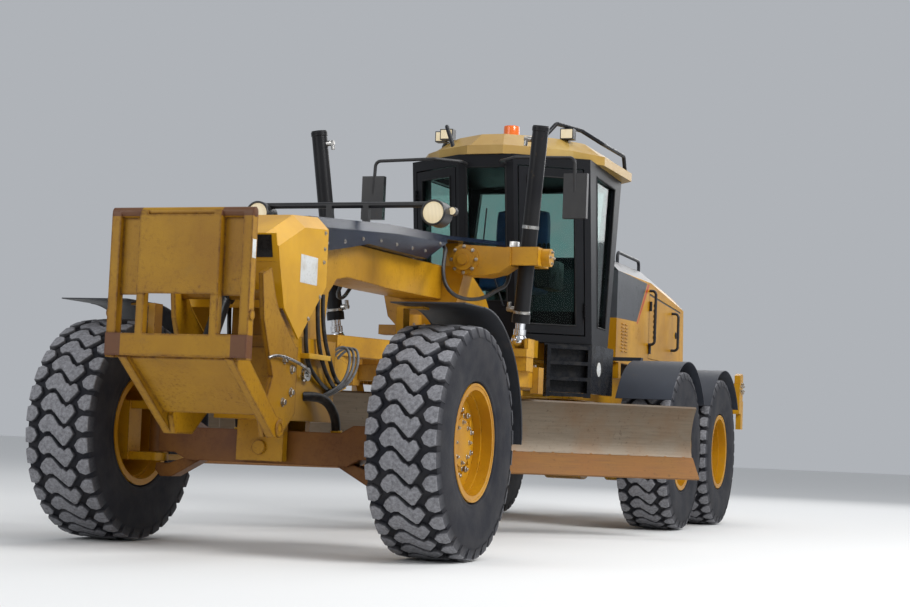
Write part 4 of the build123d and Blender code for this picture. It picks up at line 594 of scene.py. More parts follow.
front_disc, tandem_disc = 0.075, -0.062
for corner in corners:
    low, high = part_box(f"tyre_{corner}")
    hub = (low + high) / 2
    outward = 1.0 if corner.endswith("left") else -1.0
    disc = front_disc if corner.startswith("front") else tandem_disc
    face = hub + Vector((outward * (disc + 0.011), 0.0, 0.0))
    body = f"wheel_{corner}_body"
    ring_of_bolts(f"wheel_nuts_{corner}", 10, 0.190, 1.0, face, (outward, 0, 0), body)
    ring_of_bolts(f"hub_bolts_{corner}", 8, 0.116, 0.55, hub + Vector((outward * (disc + 0.045), 0, 0)),
                  (outward, 0, 0), body)
    flange = bmesh.new()
    outer = outward * 0.1945
    turned_bar(flange, hub + Vector((outer - outward * 0.006, 0, 0)), hub + Vector((outer + outward * 0.004, 0, 0)),
               [(0.0, 0.3385), (0.004, 0.3405), (0.008, 0.3395), (0.010, 0.3370), (0.010, 0.3240), (0.004, 0.3210),
                (0.0, 0.3215)], 96)
    caps = [f for f in flange.faces if len(f.verts) > 8]
    bmesh.ops.delete(flange, geom=caps, context="FACES_ONLY")
    open_rings = [e for e in flange.edges if len(e.link_faces) == 1]
    bmesh.ops.bridge_loops(flange, edges=open_rings)
    settle(f"rim_lip_{corner}", flange, rim_yellow, body)
    valve = bmesh.new()
    root = hub + Vector((outward * (disc + 0.010), 0.0, 0.262))
    round_bar(valve, root, root + Vector((outward * 0.045, 0, 0.006)), 0.006, 0.001, 12)
    round_bar(valve, root + Vector((outward * 0.040, 0, 0.005)), root + Vector((outward * 0.058, 0, 0.007)),
              0.0085, 0.0015, 12)
    settle(f"tyre_valve_{corner}", valve, plated_nut, body)

# The rear frame: welded box rails with the hitch plates, the bumper and the tandem cases, yellow enamel over
# steel, splashed with dust. The engine stands between the rails as one dark mass.
frame_yellow = machine_paint("frame_yellow", (0.58, 0.30, 0.006), (0.40, 0.19, 0.010), rust=0.40, dust=0.50)
engine_iron = machine_paint("engine_iron", (0.055, 0.050, 0.045), (0.030, 0.027, 0.025), rust=0.3, dust=0.55,
                            edges=0.0, roughness=0.6)
dress(["rear_frame", "tandem_drive"], frame_yellow)
dress(["engine_block"], engine_iron)
frame_low, frame_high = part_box("rear_frame")
for side in (1.0, -1.0):
    ring_of_bolts(f"bumper_bolts_{'left' if side > 0 else 'right'}", 6, 0.045, 0.7,
                  (side * 1.2305, 4.515, 1.300), (side, 0, 0), "rear_body")

# The engine enclosure: folded sheet panels bolted to the rear frame, yellow below and black on top, with a
# painted band between them. Rows of punched ribs and two black hand rails stand on its flank and its roof.
hood_black = (0.016, 0.017, 0.021)


def zoned_paint(name, zones, rust, dust, roughness=0.34):
    """Machine paint with areas of another colour, each bounded by planes (x, y, z, offset) on a side view."""
    material = machine_paint(name, (0.60, 0.30, 0.006), (0.42, 0.19, 0.005), rust=rust, dust=dust,
                             roughness=roughness)
    return paint_zones(material, zones)


def paint_zones(material, zones):
    """Lay areas of another colour over a paint; each is bounded by planes (x, y, z, distance)."""
    tree = material.node_tree
    shader = tree.nodes["Principled BSDF"]
    painted = shader.inputs["Base Color"].links[0].from_socket
    coordinates = tree.nodes.new("ShaderNodeTexCoord").outputs["Object"]
    for planes, colour, share in zones:
        inside = None
        for x, y, z, distance in planes:
            dot = tree.nodes.new("ShaderNodeVectorMath")
            dot.operation = "DOT_PRODUCT"
            dot.inputs[1].default_value = (x, y, z)
            tree.links.new(coordinates, dot.inputs[0])
            side = between(tree, dot.outputs["Value"], distance, distance + 0.002)
            inside = side if inside is None else combine(tree, "MULTIPLY", inside, side)
        over = lay_over(tree, combine(tree, "MULTIPLY", between(tree, cloud(tree, coordinates, 5.0), 0.3, 0.8), 0.5),
                        colour, tuple(c * 1.6 + 0.008 for c in colour))
        painted = lay_over(tree, combine(tree, "MULTIPLY", inside, share), painted, over)
    tree.links.new(painted, shader.inputs["Base Color"])
    return material


def above_line(first, second):
    """A plane through two (station, height) points of a side view, with the inside above it."""
    run, rise = second[0] - first[0], second[1] - first[1]
    length = math.hypot(run, rise)
    return (0.0, -rise / length, run / length, (-rise * (first[0] + front_axle_y) + run * first[1]) / length)


def below_line(first, second):
    """The same plane with the inside below it."""
    return tuple(-value for value in above_line(first, second))


grey_band = [above_line((5.48, 1.804), (6.146, 1.819)), below_line((5.45, 2.225), (6.60, 2.20)),
             above_line((6.146, 1.819), (6.506, 2.21))]
red_stripe = [above_line((6.185, 1.803), (6.551, 2.158)), below_line((6.160, 1.819), (6.520, 2.20)),
              above_line((6.0, 1.803), (6.8, 1.803)), below_line((5.45, 2.225), (6.60, 2.20))]
black_top = [above_line((5.45, 2.222), (6.70, 2.222))]
hood_paint = zoned_paint("hood_paint", [(grey_band, (0.055, 0.058, 0.064), 1.0), (red_stripe, (0.42, 0.02, 0.02), 0.9),
                                        (black_top, hood_black, 1.0),
                                        ([(1.0, 0.0, 0.0, 0.6190)], hood_black, 1.0),
                                        ([(-1.0, 0.0, 0.0, 0.6190)], hood_black, 1.0)], 0.30, 0.35)
dress(["engine_hood"], hood_paint)

rail_black = plated_metal("rail_black", (0.010, 0.011, 0.014), (0.030, 0.027, 0.024), 0.32, metallic=0.0)
rib_shape = bmesh.new()
for side in (1.0, -1.0):
    for station in (5.62, 5.74):
        for row in range(9):
            height = 1.52 + 0.03 * row
            soft_box(rib_shape, (side * 0.608 if side > 0 else -0.618, front_axle_y + station, height),
                     (side * 0.618 if side > 0 else -0.608, front_axle_y + station + 0.09, height + 0.012), 0.004)
settle("hood_ribs", rib_shape, hood_paint, "rear_body")

# The engine doors: one steel leaf on each side, hung on two pins at its front edge and shut with a push latch.
# Three rows of round holes let air to the fan; each is a near-black disc on the leaf, a painted shade in place of an
# opening. A bent black rail is the handle.
door_paint = zoned_paint("door_paint", [([above_line((6.60, 2.100), (7.88, 2.028))], hood_black, 1.0),
                                        ([(1.0, 0.0, 0.0, 0.6125)], hood_black, 1.0),
                                        ([(-1.0, 0.0, 0.0, 0.6125)], hood_black, 1.0)], 0.30, 0.35)
dress(["engine_door_left", "engine_door_right"], door_paint)
# The air holes are not cut: near-black matt discs lie on each leaf, and their colour is a painted shade standing in for
# the dark openings.
hole_shade_black = plated_metal("hole_shade_black", (0.004, 0.004, 0.005), (0.012, 0.010, 0.009), 0.8, metallic=0.0)
for side, word in ((1.0, "left"), (-1.0, "right")):
    holes = bmesh.new()
    for column in range(3):
        for row in range(7):
            place = Vector((side * 0.6085, front_axle_y + 6.78 + 0.05 * column, 1.72 + 0.05 * row))
            turned_bar(holes, place, place + Vector((side * 0.004, 0, 0)), [(0.0, 0.014), (0.003, 0.0145),
                                                                            (0.004, 0.0135)], 16)
    settle(f"door_air_holes_{word}", holes, hole_shade_black, f"engine_door_{word}_body")
    latch = bmesh.new()
    place = Vector((side * 0.609, front_axle_y + 7.70, 1.80))
    turned_bar(latch, place, place + Vector((side * 0.012, 0, 0)), [(0.0, 0.034), (0.006, 0.034), (0.010, 0.030),
                                                                    (0.011, 0.018), (0.012, 0.018)], 32)
    settle(f"door_latch_{word}", latch, rail_black, f"engine_door_{word}_body")

# The grille, the stack and the rear fenders: a black pressed grille, a rusty steel stack with a bent tip, and
# plain blue-grey arched sheets bolted to brackets over the tandem wheels.
grille_paint = machine_paint("grille_paint", (0.020, 0.020, 0.021), (0.035, 0.032, 0.030), rust=0.2, dust=0.4,
                             edges=0.0)
dress(["rear_grille"], grille_paint)
stack_steel = machine_paint("stack_steel", (0.075, 0.060, 0.050), (0.040, 0.030, 0.026), rust=0.9, dust=0.3,
                            edges=0.004, roughness=0.6)
dress(["exhaust_stack"], stack_steel)
sheet_grey = machine_paint("sheet_grey", (0.030, 0.036, 0.050), (0.022, 0.026, 0.036), rust=0.20, dust=0.25,
                           edges=0.003, roughness=0.5)
dress(["rear_fenders"], sheet_grey)
clamp = bmesh.new()
for height in (2.50, 2.84):
    turned_bar(clamp, (-0.330, front_axle_y + 5.750, height), (-0.330, front_axle_y + 5.750, height + 0.024),
               [(0.0, 0.063), (0.003, 0.067), (0.021, 0.067), (0.024, 0.063)], 40)
settle("stack_clamps", clamp, plated_nut, "rear_body")

# The front frame: one arched box beam welded from plate, with the bolster over the axle and the cross members
# under the cab. Yellow enamel, blown with grit and freckled with rust along its lower edge.
beam_yellow = machine_paint("beam_yellow", (0.50, 0.255, 0.006), (0.33, 0.155, 0.005), rust=0.62, dust=0.35,
                            edges=0.012)
dress(["front_frame"], beam_yellow)

# The nose cover: a thin folded sheet shroud over the valve block, bolted round its rim. A plain black plate and
# a plain white sheet are stuck on its flank.
nose_yellow = machine_paint("nose_yellow", (0.66, 0.35, 0.009), (0.50, 0.25, 0.007), rust=0.30, dust=0.22,
                            edges=0.004, roughness=0.32)
dress(["nose_cover"], nose_yellow)
plate_black = plated_metal("plate_black", (0.012, 0.012, 0.013), (0.028, 0.026, 0.024), 0.3, metallic=0.0)
plate_white = plated_metal("plate_white", (0.62, 0.63, 0.62), (0.42, 0.38, 0.31), 0.4, metallic=0.0)
nose_front = bmesh.new()
front_line = [(-0.6835, 1.798), (-0.6435, 1.642), (-0.6335, 1.642), (-0.6735, 1.798)]
ends = [[nose_front.verts.new((x, front_axle_y + station, height)) for station, height in front_line]
        for x in (-0.291, 0.291)]
nose_front.faces.new(ends[0])
nose_front.faces.new(ends[1][::-1])
for first in range(4):
    second = (first + 1) % 4
    nose_front.faces.new((ends[0][first], ends[0][second], ends[1][second], ends[1][first]))
settle("nose_front_sheet", nose_front, nose_yellow, "front_body")
slope = Matrix.Rotation(math.atan2(0.040, 0.156), 3, "X")
plate_middle = Vector((0.115, front_axle_y - 0.6665, 1.728))
plate = bmesh.new()
soft_box(plate, plate_middle - Vector((0.145, 0.0022, 0.064)), plate_middle + Vector((0.145, 0.0022, 0.064)), 0.0008,
         slope)
settle("nose_blank_plate", plate, plate_black, "front_body")
for word, side in (("left", 1.0), ("right", -1.0)):
    heads = bmesh.new()
    for station, height in ((-0.087, 1.492), (-0.235, 1.352), (-0.045, 1.874), (-0.045, 1.779), (-0.050, 1.70)):
        place = Vector((side * 0.2995, front_axle_y + station, height))
        turned_bar(heads, place, place + Vector((side * 0.003, 0, 0)), [(0.0, 0.0135), (0.002, 0.0135),
                                                                       (0.003, 0.012)], 20)
        turned_bar(heads, place + Vector((side * 0.002, 0, 0)), place + Vector((side * 0.0100, 0, 0)),
                   [(0.0, 0.0095), (0.006, 0.0095), (0.008, 0.0075)], 6)
    settle(f"nose_bolts_{word}", heads, plated_nut, "front_body")
sheet = bmesh.new()
soft_box(sheet, (0.2998, front_axle_y - 0.366, 1.553), (0.3012, front_axle_y - 0.135, 1.716), 0.0004)
settle("nose_blank_sheet", sheet, plate_white, "front_body")

# The hood cover: a long black sheet cover over the beam that hides the hose runs, its top caught by the sky.
# Bolts hold its lower flange every quarter of a metre.
cover_black = machine_paint("cover_black", (0.005, 0.009, 0.020), (0.010, 0.018, 0.040), rust=0.05, dust=0.02,
                            edges=0.003, roughness=0.24, specular=0.22)
dress(["hood_cover"], cover_black)
for word, side in (("left", 1.0), ("right", -1.0)):
    heads = bmesh.new()
    for station, height in ((0.12, 1.835), (0.38, 1.875), (0.66, 1.925), (0.95, 1.948), (1.22, 1.955),
                            (1.50, 1.962), (1.74, 1.972), (2.02, 2.055)):
        place = Vector((side * 0.2395, front_axle_y + station, height))
        turned_bar(heads, place, place + Vector((side * 0.003, 0, 0)), [(0.0, 0.013), (0.002, 0.013),
                                                                       (0.003, 0.0115)], 20)
        turned_bar(heads, place + Vector((side * 0.002, 0, 0)), place + Vector((side * 0.009, 0, 0)),
                   [(0.0, 0.009), (0.005, 0.009), (0.007, 0.007)], 6)
    settle(f"cover_bolts_{word}", heads, plated_nut, "front_body")

# The saddle: a heavy casting clamped round the beam with four cap screws a side, and two forged arms that hold
# the lift cylinders in their yokes.
cast_yellow = machine_paint("cast_yellow", (0.60, 0.30, 0.006), (0.38, 0.18, 0.010), rust=0.60, dust=0.40,
                            edges=0.010)
dress(["lift_saddle"], cast_yellow)
for side, word in ((1.0, "left"), (-1.0, "right")):
    ring_of_bolts(f"saddle_hub_bolts_{word}", 8, 0.093, 0.55, (side * 0.345, -1.1485 - 0.075, 1.965), (0, -1, 0),
                  "front_body")
    ring_of_bolts(f"trunnion_cap_bolts_{word}", 4, 0.040, 0.5, (side * 0.9455, -1.058, 1.995), (side, 0, 0),
                  "front_body")

# The hydraulic cylinders: black barrels with a bright gland ring and hose fittings, and chromed rods that end
# in a greasy eye or ball.
barrel_black = machine_paint("barrel_black", (0.009, 0.009, 0.011), (0.018, 0.018, 0.019), rust=0.10, dust=0.15,
                             edges=0.003, roughness=0.30, specular=0.2)
rod_chrome = plated_metal("rod_chrome", (0.78, 0.79, 0.82), (0.34, 0.30, 0.26), 0.10, grain=(1.0, 1.0, 8.0))
gland_silver = plated_metal("gland_silver", (0.52, 0.51, 0.49), (0.16, 0.13, 0.10), 0.30)
dress(["lift_barrel_left", "lift_barrel_right", "tip_barrel", "shift_barrel", "front_lift_barrel"], barrel_black)
dress(["lift_rod_left", "lift_rod_right", "tip_rod", "shift_rod", "front_lift_rod"], rod_chrome)
for side, word in ((1.0, "left"), (-1.0, "right")):
    eye = Vector((side * 0.706, front_axle_y + 2.450, 1.412))
    trunnion = Vector((side * 0.766, front_axle_y + 2.392, 1.995))
    along = (trunnion - eye).normalized()
    gland = trunnion - along * 0.465
    rings = bmesh.new()
    turned_bar(rings, gland + along * 0.062, gland + along * 0.085, [(0.0, 0.0575), (0.003, 0.0615),
                                                                    (0.020, 0.0615), (0.023, 0.0575)], 40)
    turned_bar(rings, trunnion + along * 0.205, trunnion + along * 0.232, [(0.0, 0.0575), (0.002, 0.0605),
                                                                         (0.025, 0.0605), (0.027, 0.0575)], 40)
    settle(f"lift_cylinder_rings_{word}", rings, gland_silver, f"lift_barrel_{word}_body")
    cap = bmesh.new()
    turned_bar(cap, trunnion + along * 0.90, trunnion + along * 0.9395, [(0.0, 0.0575), (0.003, 0.0610),
                                                                      (0.030, 0.0610), (0.0395, 0.050)], 40)
    settle(f"lift_cylinder_cap_{word}", cap, barrel_black, f"lift_barrel_{word}_body")
    ports = bmesh.new()
    inward = Vector((-side, 0, 0)) - along * (Vector((-side, 0, 0)).dot(along))
    inward.normalize()
    for reach in (-0.375, 0.84):
        foot = trunnion + along * reach + inward * 0.054
        round_bar(ports, foot, foot + inward * 0.035, 0.021, 0.003, 24)
        turned_bar(ports, foot + inward * 0.033, foot + inward * 0.060, [(0.0, 0.019), (0.024, 0.019),
                                                                        (0.027, 0.016)], 6)
        round_bar(ports, foot + inward * 0.046 - along * 0.004, foot + inward * 0.046 + along * 0.05 * (1 if reach < 0 else -1),
                  0.014, 0.002, 20)
    settle(f"lift_cylinder_ports_{word}", ports, gland_silver, f"lift_barrel_{word}_body")

# The drawbar and the circle: a welded A-frame under a cast ring whose inner edge carries 64 gear teeth. The
# pinion's gearbox stands on the ring plate. Worn yellow enamel, rubbed bright and rusty where the ring slides.
circle_yellow = machine_paint("circle_yellow", (0.58, 0.30, 0.012), (0.34, 0.16, 0.010), rust=0.70, dust=0.55,
                              edges=0.012, roughness=0.42)
dress(["drawbar", "circle", "blade_carrier"], circle_yellow)
circle_middle = Vector((0.0, front_axle_y + 2.685, 0.0))
ring_of_bolts("gearbox_flange_bolts", 8, 0.132, 0.6, circle_middle + Vector((0, -0.530, 1.3405)), (0, 0, 1),
              "drawbar_body")
ring_of_bolts("gearbox_cap_bolts", 6, 0.094, 0.5, circle_middle + Vector((0, -0.530, 1.4805)), (0, 0, 1),
              "drawbar_body")
guides = bmesh.new()
for number in range(6):
    angle = math.radians(60 * number)
    for across in (-0.040, 0.040):
        place = circle_middle + Vector((math.cos(angle) * 0.745 - math.sin(angle) * across,
                                        math.sin(angle) * 0.745 + math.cos(angle) * across, 1.2305))
        turned_bar(guides, place, place + Vector((0, 0, 0.004)), [(0.0, 0.019), (0.003, 0.019), (0.004, 0.017)], 20)
        turned_bar(guides, place + Vector((0, 0, 0.003)), place + Vector((0, 0, 0.019)), [(0.0, 0.0135),
                                                                                        (0.013, 0.0135), (0.016, 0.011)], 6)
settle("circle_shoe_bolts", guides, plated_nut, "drawbar_body")

# The blade: a rolled steel moldboard scoured by gravel, with a row of plough bolts along its cutting edge and a
# welded seam where an extension joins its right end. The replaceable edge is hard steel with an orange rust.
blade_along = Vector((math.cos(math.radians(38)), math.sin(math.radians(38)), 0.0))
blade_rearward = Vector((-math.sin(math.radians(38)), math.cos(math.radians(38)), 0.0))
blade_left_end, blade_right_end = 2.0635, -2.2035


def scoured_steel(name, bright, stain, rust_colour, metallic, roughness):
    """Worn steel: long scratches along the blade, stains above and rust clouds."""
    material, tree, shader, coordinates = new_surface(name, roughness, metallic)
    turn = tree.nodes.new("ShaderNodeMapping")
    turn.inputs["Rotation"].default_value = (0.0, 0.0, -math.radians(38))
    tree.links.new(coordinates, turn.inputs["Vector"])
    along = turn.outputs["Vector"]
    streaks = cloud(tree, along, 75.0, 4.0, stretch=(0.06, 1.0, 1.0), roughness=0.6)
    clouds = cloud(tree, along, 2.4, 6.0)
    body = lay_over(tree, between(tree, streaks, 0.15, 0.85), stain, bright)
    body = lay_over(tree, combine(tree, "MULTIPLY", between(tree, clouds, 0.44, 0.72), 0.75), body, rust_colour)
    spots = between(tree, cloud(tree, coordinates, 36.0, 6.0, roughness=0.7), 0.58, 0.70)
    body = lay_over(tree, combine(tree, "MULTIPLY", spots, 0.6), body, tuple(c * 0.35 for c in rust_colour))
    tree.links.new(body, shader.inputs["Base Color"])
    tree.links.new(combine(tree, "ADD", combine(tree, "MULTIPLY", streaks, 0.30), roughness - 0.12),
                   shader.inputs["Roughness"])
    relief = tree.nodes.new("ShaderNodeBump")
    relief.inputs["Strength"].default_value = 0.3
    relief.inputs["Distance"].default_value = 0.0015
    tree.links.new(streaks, relief.inputs["Height"])
    tree.links.new(relief.outputs["Normal"], shader.inputs["Normal"])
    return material


moldboard_steel = scoured_steel("moldboard_steel", (0.185, 0.148, 0.106), (0.112, 0.085, 0.057), (0.142, 0.076, 0.032), 0.40,
                                0.44)
edge_rust = scoured_steel("edge_rust", (0.300, 0.136, 0.025), (0.165, 0.068, 0.016), (0.250, 0.096, 0.018), 0.15, 0.55)
dress(["moldboard"], moldboard_steel)
dress(["cutting_edge"], edge_rust)
plough_bolts = bmesh.new()
face_centre = Vector((0.0, 0.0, 0.755)) + blade_rearward * -0.413 + circle_middle
for row, angle in (("upper", -21.0), ("lower", -33.0)):
    slope = math.radians(angle)
    normal = blade_rearward * -math.cos(slope) + Vector((0, 0, -math.sin(slope)))
    radius = 0.3915 if row == "upper" else 0.3908
    for number in range(28):
        along = blade_right_end + 0.07 + number * (blade_left_end - blade_right_end - 0.14) / 27
        if row == "lower":
            continue
        place = face_centre + blade_along * along - normal * radius
        turned_bar(plough_bolts, place - normal * 0.001, place + normal * 0.005, [(0.0, 0.0135), (0.004, 0.013),
                                                                                (0.006, 0.010)], 14)
settle("plough_bolts", plough_bolts, edge_rust, "blade_body")
seam = bmesh.new()
for place_along, width in ((blade_right_end + 0.61, 0.006),):
    last = None
    for step in range(25):
        slope = math.radians(-19.5 + step * 57.0 / 24)
        outward = blade_rearward * math.cos(slope) + Vector((0, 0, math.sin(slope)))
        wobble = 0.0012 * math.sin(step * 2.1)
        ring = []
        for reach, aside in ((0.3905, -width), (0.3870, -width * 0.45), (0.3862, 0.0), (0.3870, width * 0.45), (0.3905, width)):
            ring.append(seam.verts.new(face_centre + outward * reach + blade_along * (place_along + aside + wobble)))
        if last:
            for first in range(len(ring)):
                second = (first + 1) % len(ring)
                seam.faces.new((last[first], last[second], ring[second], ring[first]))
        else:
            seam.faces.new(ring)
        last = ring
    seam.faces.new(last)
settle("blade_weld_seam", seam, moldboard_steel, "blade_body")

# The front axle: a forged beam that rocks under the bolster, with yellow C-shaped knuckles that turn on its
# kingpins, a painted tie rod, and black plastic-coated fenders that steer with the wheels.
axle_rust = machine_paint("axle_rust", (0.215, 0.084, 0.009), (0.105, 0.034, 0.006), rust=0.95, dust=0.35, edges=0.014,
                          roughness=0.5)
dress(["front_axle"], axle_rust)
dress(["knuckle_left", "knuckle_right"], cast_yellow)
dress(["tie_rod"], barrel_black)
fender_black = machine_paint("fender_black", (0.020, 0.022, 0.028), (0.036, 0.038, 0.045), rust=0.0, dust=0.30,
                             edges=0.0, roughness=0.5)
dress(["front_fender_left", "front_fender_right"], fender_black)
for side, word in ((1.0, "left"), (-1.0, "right")):
    ring_of_bolts(f"kingpin_cap_bolts_{word}", 6, 0.043, 0.45, (side * 0.765, front_axle_y, 0.8505), (0, 0, 1),
                  f"knuckle_{word}_body")
    grease = bmesh.new()
    round_bar(grease, (side * 0.765, front_axle_y, 0.857), (side * 0.765, front_axle_y, 0.868), 0.012, 0.002, 16)
    round_bar(grease, (side * 0.765, front_axle_y, 0.867), (side * 0.765, front_axle_y, 0.878), 0.005, 0.001, 12)
    settle(f"grease_nipple_{word}", grease, plated_nut, f"knuckle_{word}_body")
    lip = bmesh.new()
    for step in range(25):
        start = math.radians(2.0 + step * 3.52)
        end = math.radians(2.0 + (step + 1) * 3.52)
        for edge_x in (0.852, 1.298):
            first = Vector((side * edge_x, front_axle_y + 0.7735 * math.cos(start), 0.674 + 0.7735 * math.sin(start)))
            second = Vector((side * edge_x, front_axle_y + 0.7735 * math.cos(end), 0.674 + 0.7735 * math.sin(end)))
            turned_bar(lip, first, second, [(0.0, 0.006), ((second - first).length, 0.006)], 8)
    settle(f"fender_rolled_edge_{word}", lip, fender_black, f"knuckle_{word}_body")

# The front lift group: thick profiled plates bolted to the bolster and a frame that swings on their lower pins.
# Scuffed yellow with flame-cut edges gone to dark rust; the cross tube's open ends are brown inside.
frame_scuffed = machine_paint("frame_scuffed", (0.39, 0.200, 0.004), (0.29, 0.135, 0.004), rust=0.80, dust=0.35,
                              edges=0.024, roughness=0.42, rust_colour=(0.075, 0.026, 0.016))
bare_rust = (0.085, 0.030, 0.020)
beam_end = [(0.0, 0.0, 1.0, 1.068), (0.0, 0.0, -1.0, -1.192), (0.0, -1.0, 0.0, 4.62)]
tube_end = [(0.0, 0.0, 1.0, 1.822), (0.0, -1.0, 0.0, 4.62)]
paint_zones(frame_scuffed, [([*planes, (side, 0.0, 0.0, reach)], bare_rust, 0.85)
                            for side in (1.0, -1.0) for planes, reach in ((beam_end, 0.330), (tube_end, 0.243))])
dress(["front_mount", "lift_frame"], frame_scuffed)
pin_brown = machine_paint("pin_brown", (0.16, 0.065, 0.025), (0.08, 0.035, 0.018), rust=0.8, dust=0.3, edges=0.0,
                          roughness=0.65)
for side, word in ((1.0, "left"), (-1.0, "right")):
    tube_end = bmesh.new()
    turned_bar(tube_end, (side * 0.4245, front_axle_y - 1.210, 1.845), (side * 0.4275, front_axle_y - 1.210, 1.845),
               [(0.0, 0.026), (0.002, 0.026), (0.003, 0.0245)], 28)
    settle(f"cross_tube_end_{word}", tube_end, pin_brown, "lift_frame_body")
    collar = bmesh.new()
    place = Vector((side * 0.3455, front_axle_y - 0.650, 0.712))
    turned_bar(collar, place, place + Vector((side * 0.010, 0, 0)), [(0.0, 0.048), (0.007, 0.048), (0.010, 0.045),
                                                                     (0.010, 0.0285), (0.0, 0.0285)], 32)
    settle(f"lift_pin_collar_{word}", collar, frame_scuffed, "lift_frame_body")
    heads = bmesh.new()
    for station, height in ((-0.40, 1.05), (-0.40, 0.92), (-0.50, 1.10), (-0.50, 0.86)):
        foot = Vector((side * 0.2895, front_axle_y + station, height))
        turned_bar(heads, foot, foot + Vector((side * 0.004, 0, 0)), [(0.0, 0.026), (0.003, 0.026), (0.004, 0.024)], 24)
        turned_bar(heads, foot + Vector((side * 0.003, 0, 0)), foot + Vector((side * 0.021, 0, 0)),
                   [(0.0, 0.0185), (0.014, 0.0185), (0.018, 0.015)], 6)
    settle(f"mount_bolts_{word}", heads, plated_nut, "front_body")
stickers = bmesh.new()
soft_box(stickers, (0.4245, front_axle_y - 1.232, 1.600), (0.4262, front_axle_y - 1.190, 1.700), 0.0006)
settle("frame_blank_sheet", stickers, plate_white, "lift_frame_body")

# The cab: pressed steel posts and panels welded into a six-sided shell, black gloss outside, on rubber mounts.
# The doors hang on their rear posts, each with a lever handle and a rubber seal round its glass.
cab_black = machine_paint("cab_black", (0.003, 0.0035, 0.005), (0.007, 0.0075, 0.010), rust=0.0, dust=0.02, edges=0.002,
                          roughness=0.45, specular=0.2)
dress(["cab_frame", "cab_door_left", "cab_door_right"], cab_black)
seal_rubber = plated_metal("seal_rubber", (0.010, 0.010, 0.011), (0.030, 0.028, 0.026), 0.62, metallic=0.0)
cab_lean, cab_floor, cab_height = 0.220, 1.490, 1.460
door_along = Vector((0.530, 0.355, 0.0)).normalized()


def door_place(side, along, out, height):
    """A point on a door, given along it, out from its outer face and up."""
    lean = cab_lean * (height - cab_floor) / cab_height
    return Vector((side * (0.230 + along * door_along.x + out * door_along.y),
                   front_axle_y + 3.800 + along * door_along.y - out * door_along.x - lean, height))


def seal_strip(shape, places, radius):
    """A thin round rubber bead from place to place."""
    for first, second in zip(places, places[1:]):
        turned_bar(shape, first, second, [(0.0, radius), ((second - first).length, radius)], 10)
        bmesh.ops.create_uvsphere(shape, u_segments=10, v_segments=6, radius=radius,
                                  matrix=Matrix.Translation(second))


lean_along = cab_lean * door_along.y / cab_height
for side, word in ((1.0, "left"), (-1.0, "right")):
    window = []
    for along, height in ((0.115, 1.630), (0.505, 1.630), (0.505, 2.790), (0.115, 2.790), (0.115, 1.630)):
        window.append(door_place(side, along, 0.0, height))
    seal = bmesh.new()
    seal_strip(seal, window, 0.007)
    settle(f"door_seal_{word}", seal, seal_rubber, f"cab_door_{word}_body")
    handle = bmesh.new()
    plate_middle = door_place(side, 0.062, 0.004, 1.86)
    turn = Matrix((Vector((side * door_along.x, door_along.y, 0)), Vector((side * -door_along.y, door_along.x, 0)),
                   Vector((0, 0, 1)))).transposed()
    soft_box(handle, plate_middle - Vector((0.022, 0.007, 0.070)), plate_middle + Vector((0.022, 0.007, 0.070)), 0.004,
             turn)
    lever = [door_place(side, 0.062, 0.006, 1.90), door_place(side, 0.062, 0.042, 1.90), door_place(side, 0.070, 0.044, 1.80)]
    seal_strip(handle, lever, 0.009)
    settle(f"door_handle_{word}", handle, rail_black, f"cab_door_{word}_body")
    quarter = bmesh.new()
    bead = []
    for station, height in ((4.340, 1.640), (4.640, 1.640), (4.890, 2.850), (4.190, 2.850), (4.340, 1.640)):
        share = (height - cab_floor) / cab_height
        widest = 3.800 + 0.355 - cab_lean * share
        rear = 4.750 + 0.400 * share
        half = 0.760 - 0.055 * (rear - widest) * (station - widest) / (rear - widest)
        bead.append(Vector((side * (half - 0.001), front_axle_y + station, height)))
    seal_strip(quarter, bead, 0.007)
    settle(f"quarter_seal_{word}", quarter, seal_rubber, "front_body")

# The glazing: green-tinted safety glass in the doors, the windscreen and the quarter windows, with a film of road
# dust. A wiper lies across the windscreen.
glazing = bpy.data.materials.new("tinted_glass")
glazing.use_nodes = True
pane = glazing.node_tree.nodes["Principled BSDF"]
pane.inputs["Transmission Weight"].default_value = 1.0
pane.inputs["IOR"].default_value = 1.12
place = glazing.node_tree.nodes.new("ShaderNodeTexCoord").outputs["Object"]
film = between(glazing.node_tree, cloud(glazing.node_tree, place, 6.0, 8.0, roughness=0.7), 0.42, 0.80)
tint = lay_over(glazing.node_tree, film, (0.46, 0.66, 0.62), (0.58, 0.66, 0.62))
glazing.node_tree.links.new(tint, pane.inputs["Base Color"])
glazing.node_tree.links.new(combine(glazing.node_tree, "MULTIPLY", film, 0.16), pane.inputs["Roughness"])
dress(["cab_glass", "door_glass_left", "door_glass_right"], glazing)
wiper = bmesh.new()
wiper_lean = -cab_lean / cab_height


def screen_place(x, height, out):
    """A point in front of the windscreen's outer face."""
    return Vector((x, front_axle_y + 3.800 + wiper_lean * (height - cab_floor) - out, height))


seal_strip(wiper, [screen_place(0.14, 1.76, -0.002), screen_place(0.14, 1.76, 0.022), screen_place(-0.02, 2.26, 0.022)],
           0.007)
seal_strip(wiper, [screen_place(-0.05, 2.02, 0.016), screen_place(0.01, 2.52, 0.016)], 0.006)
settle("windscreen_wiper", wiper, rail_black, "front_body")
screen_seal = bmesh.new()
seal_strip(screen_seal, [screen_place(x, height, 0.001) for x, height in
                         ((-0.165, 1.80), (0.165, 1.80), (0.165, 2.85), (-0.165, 2.85), (-0.165, 1.80))], 0.007)
settle("windscreen_seal", screen_seal, seal_rubber, "front_body")
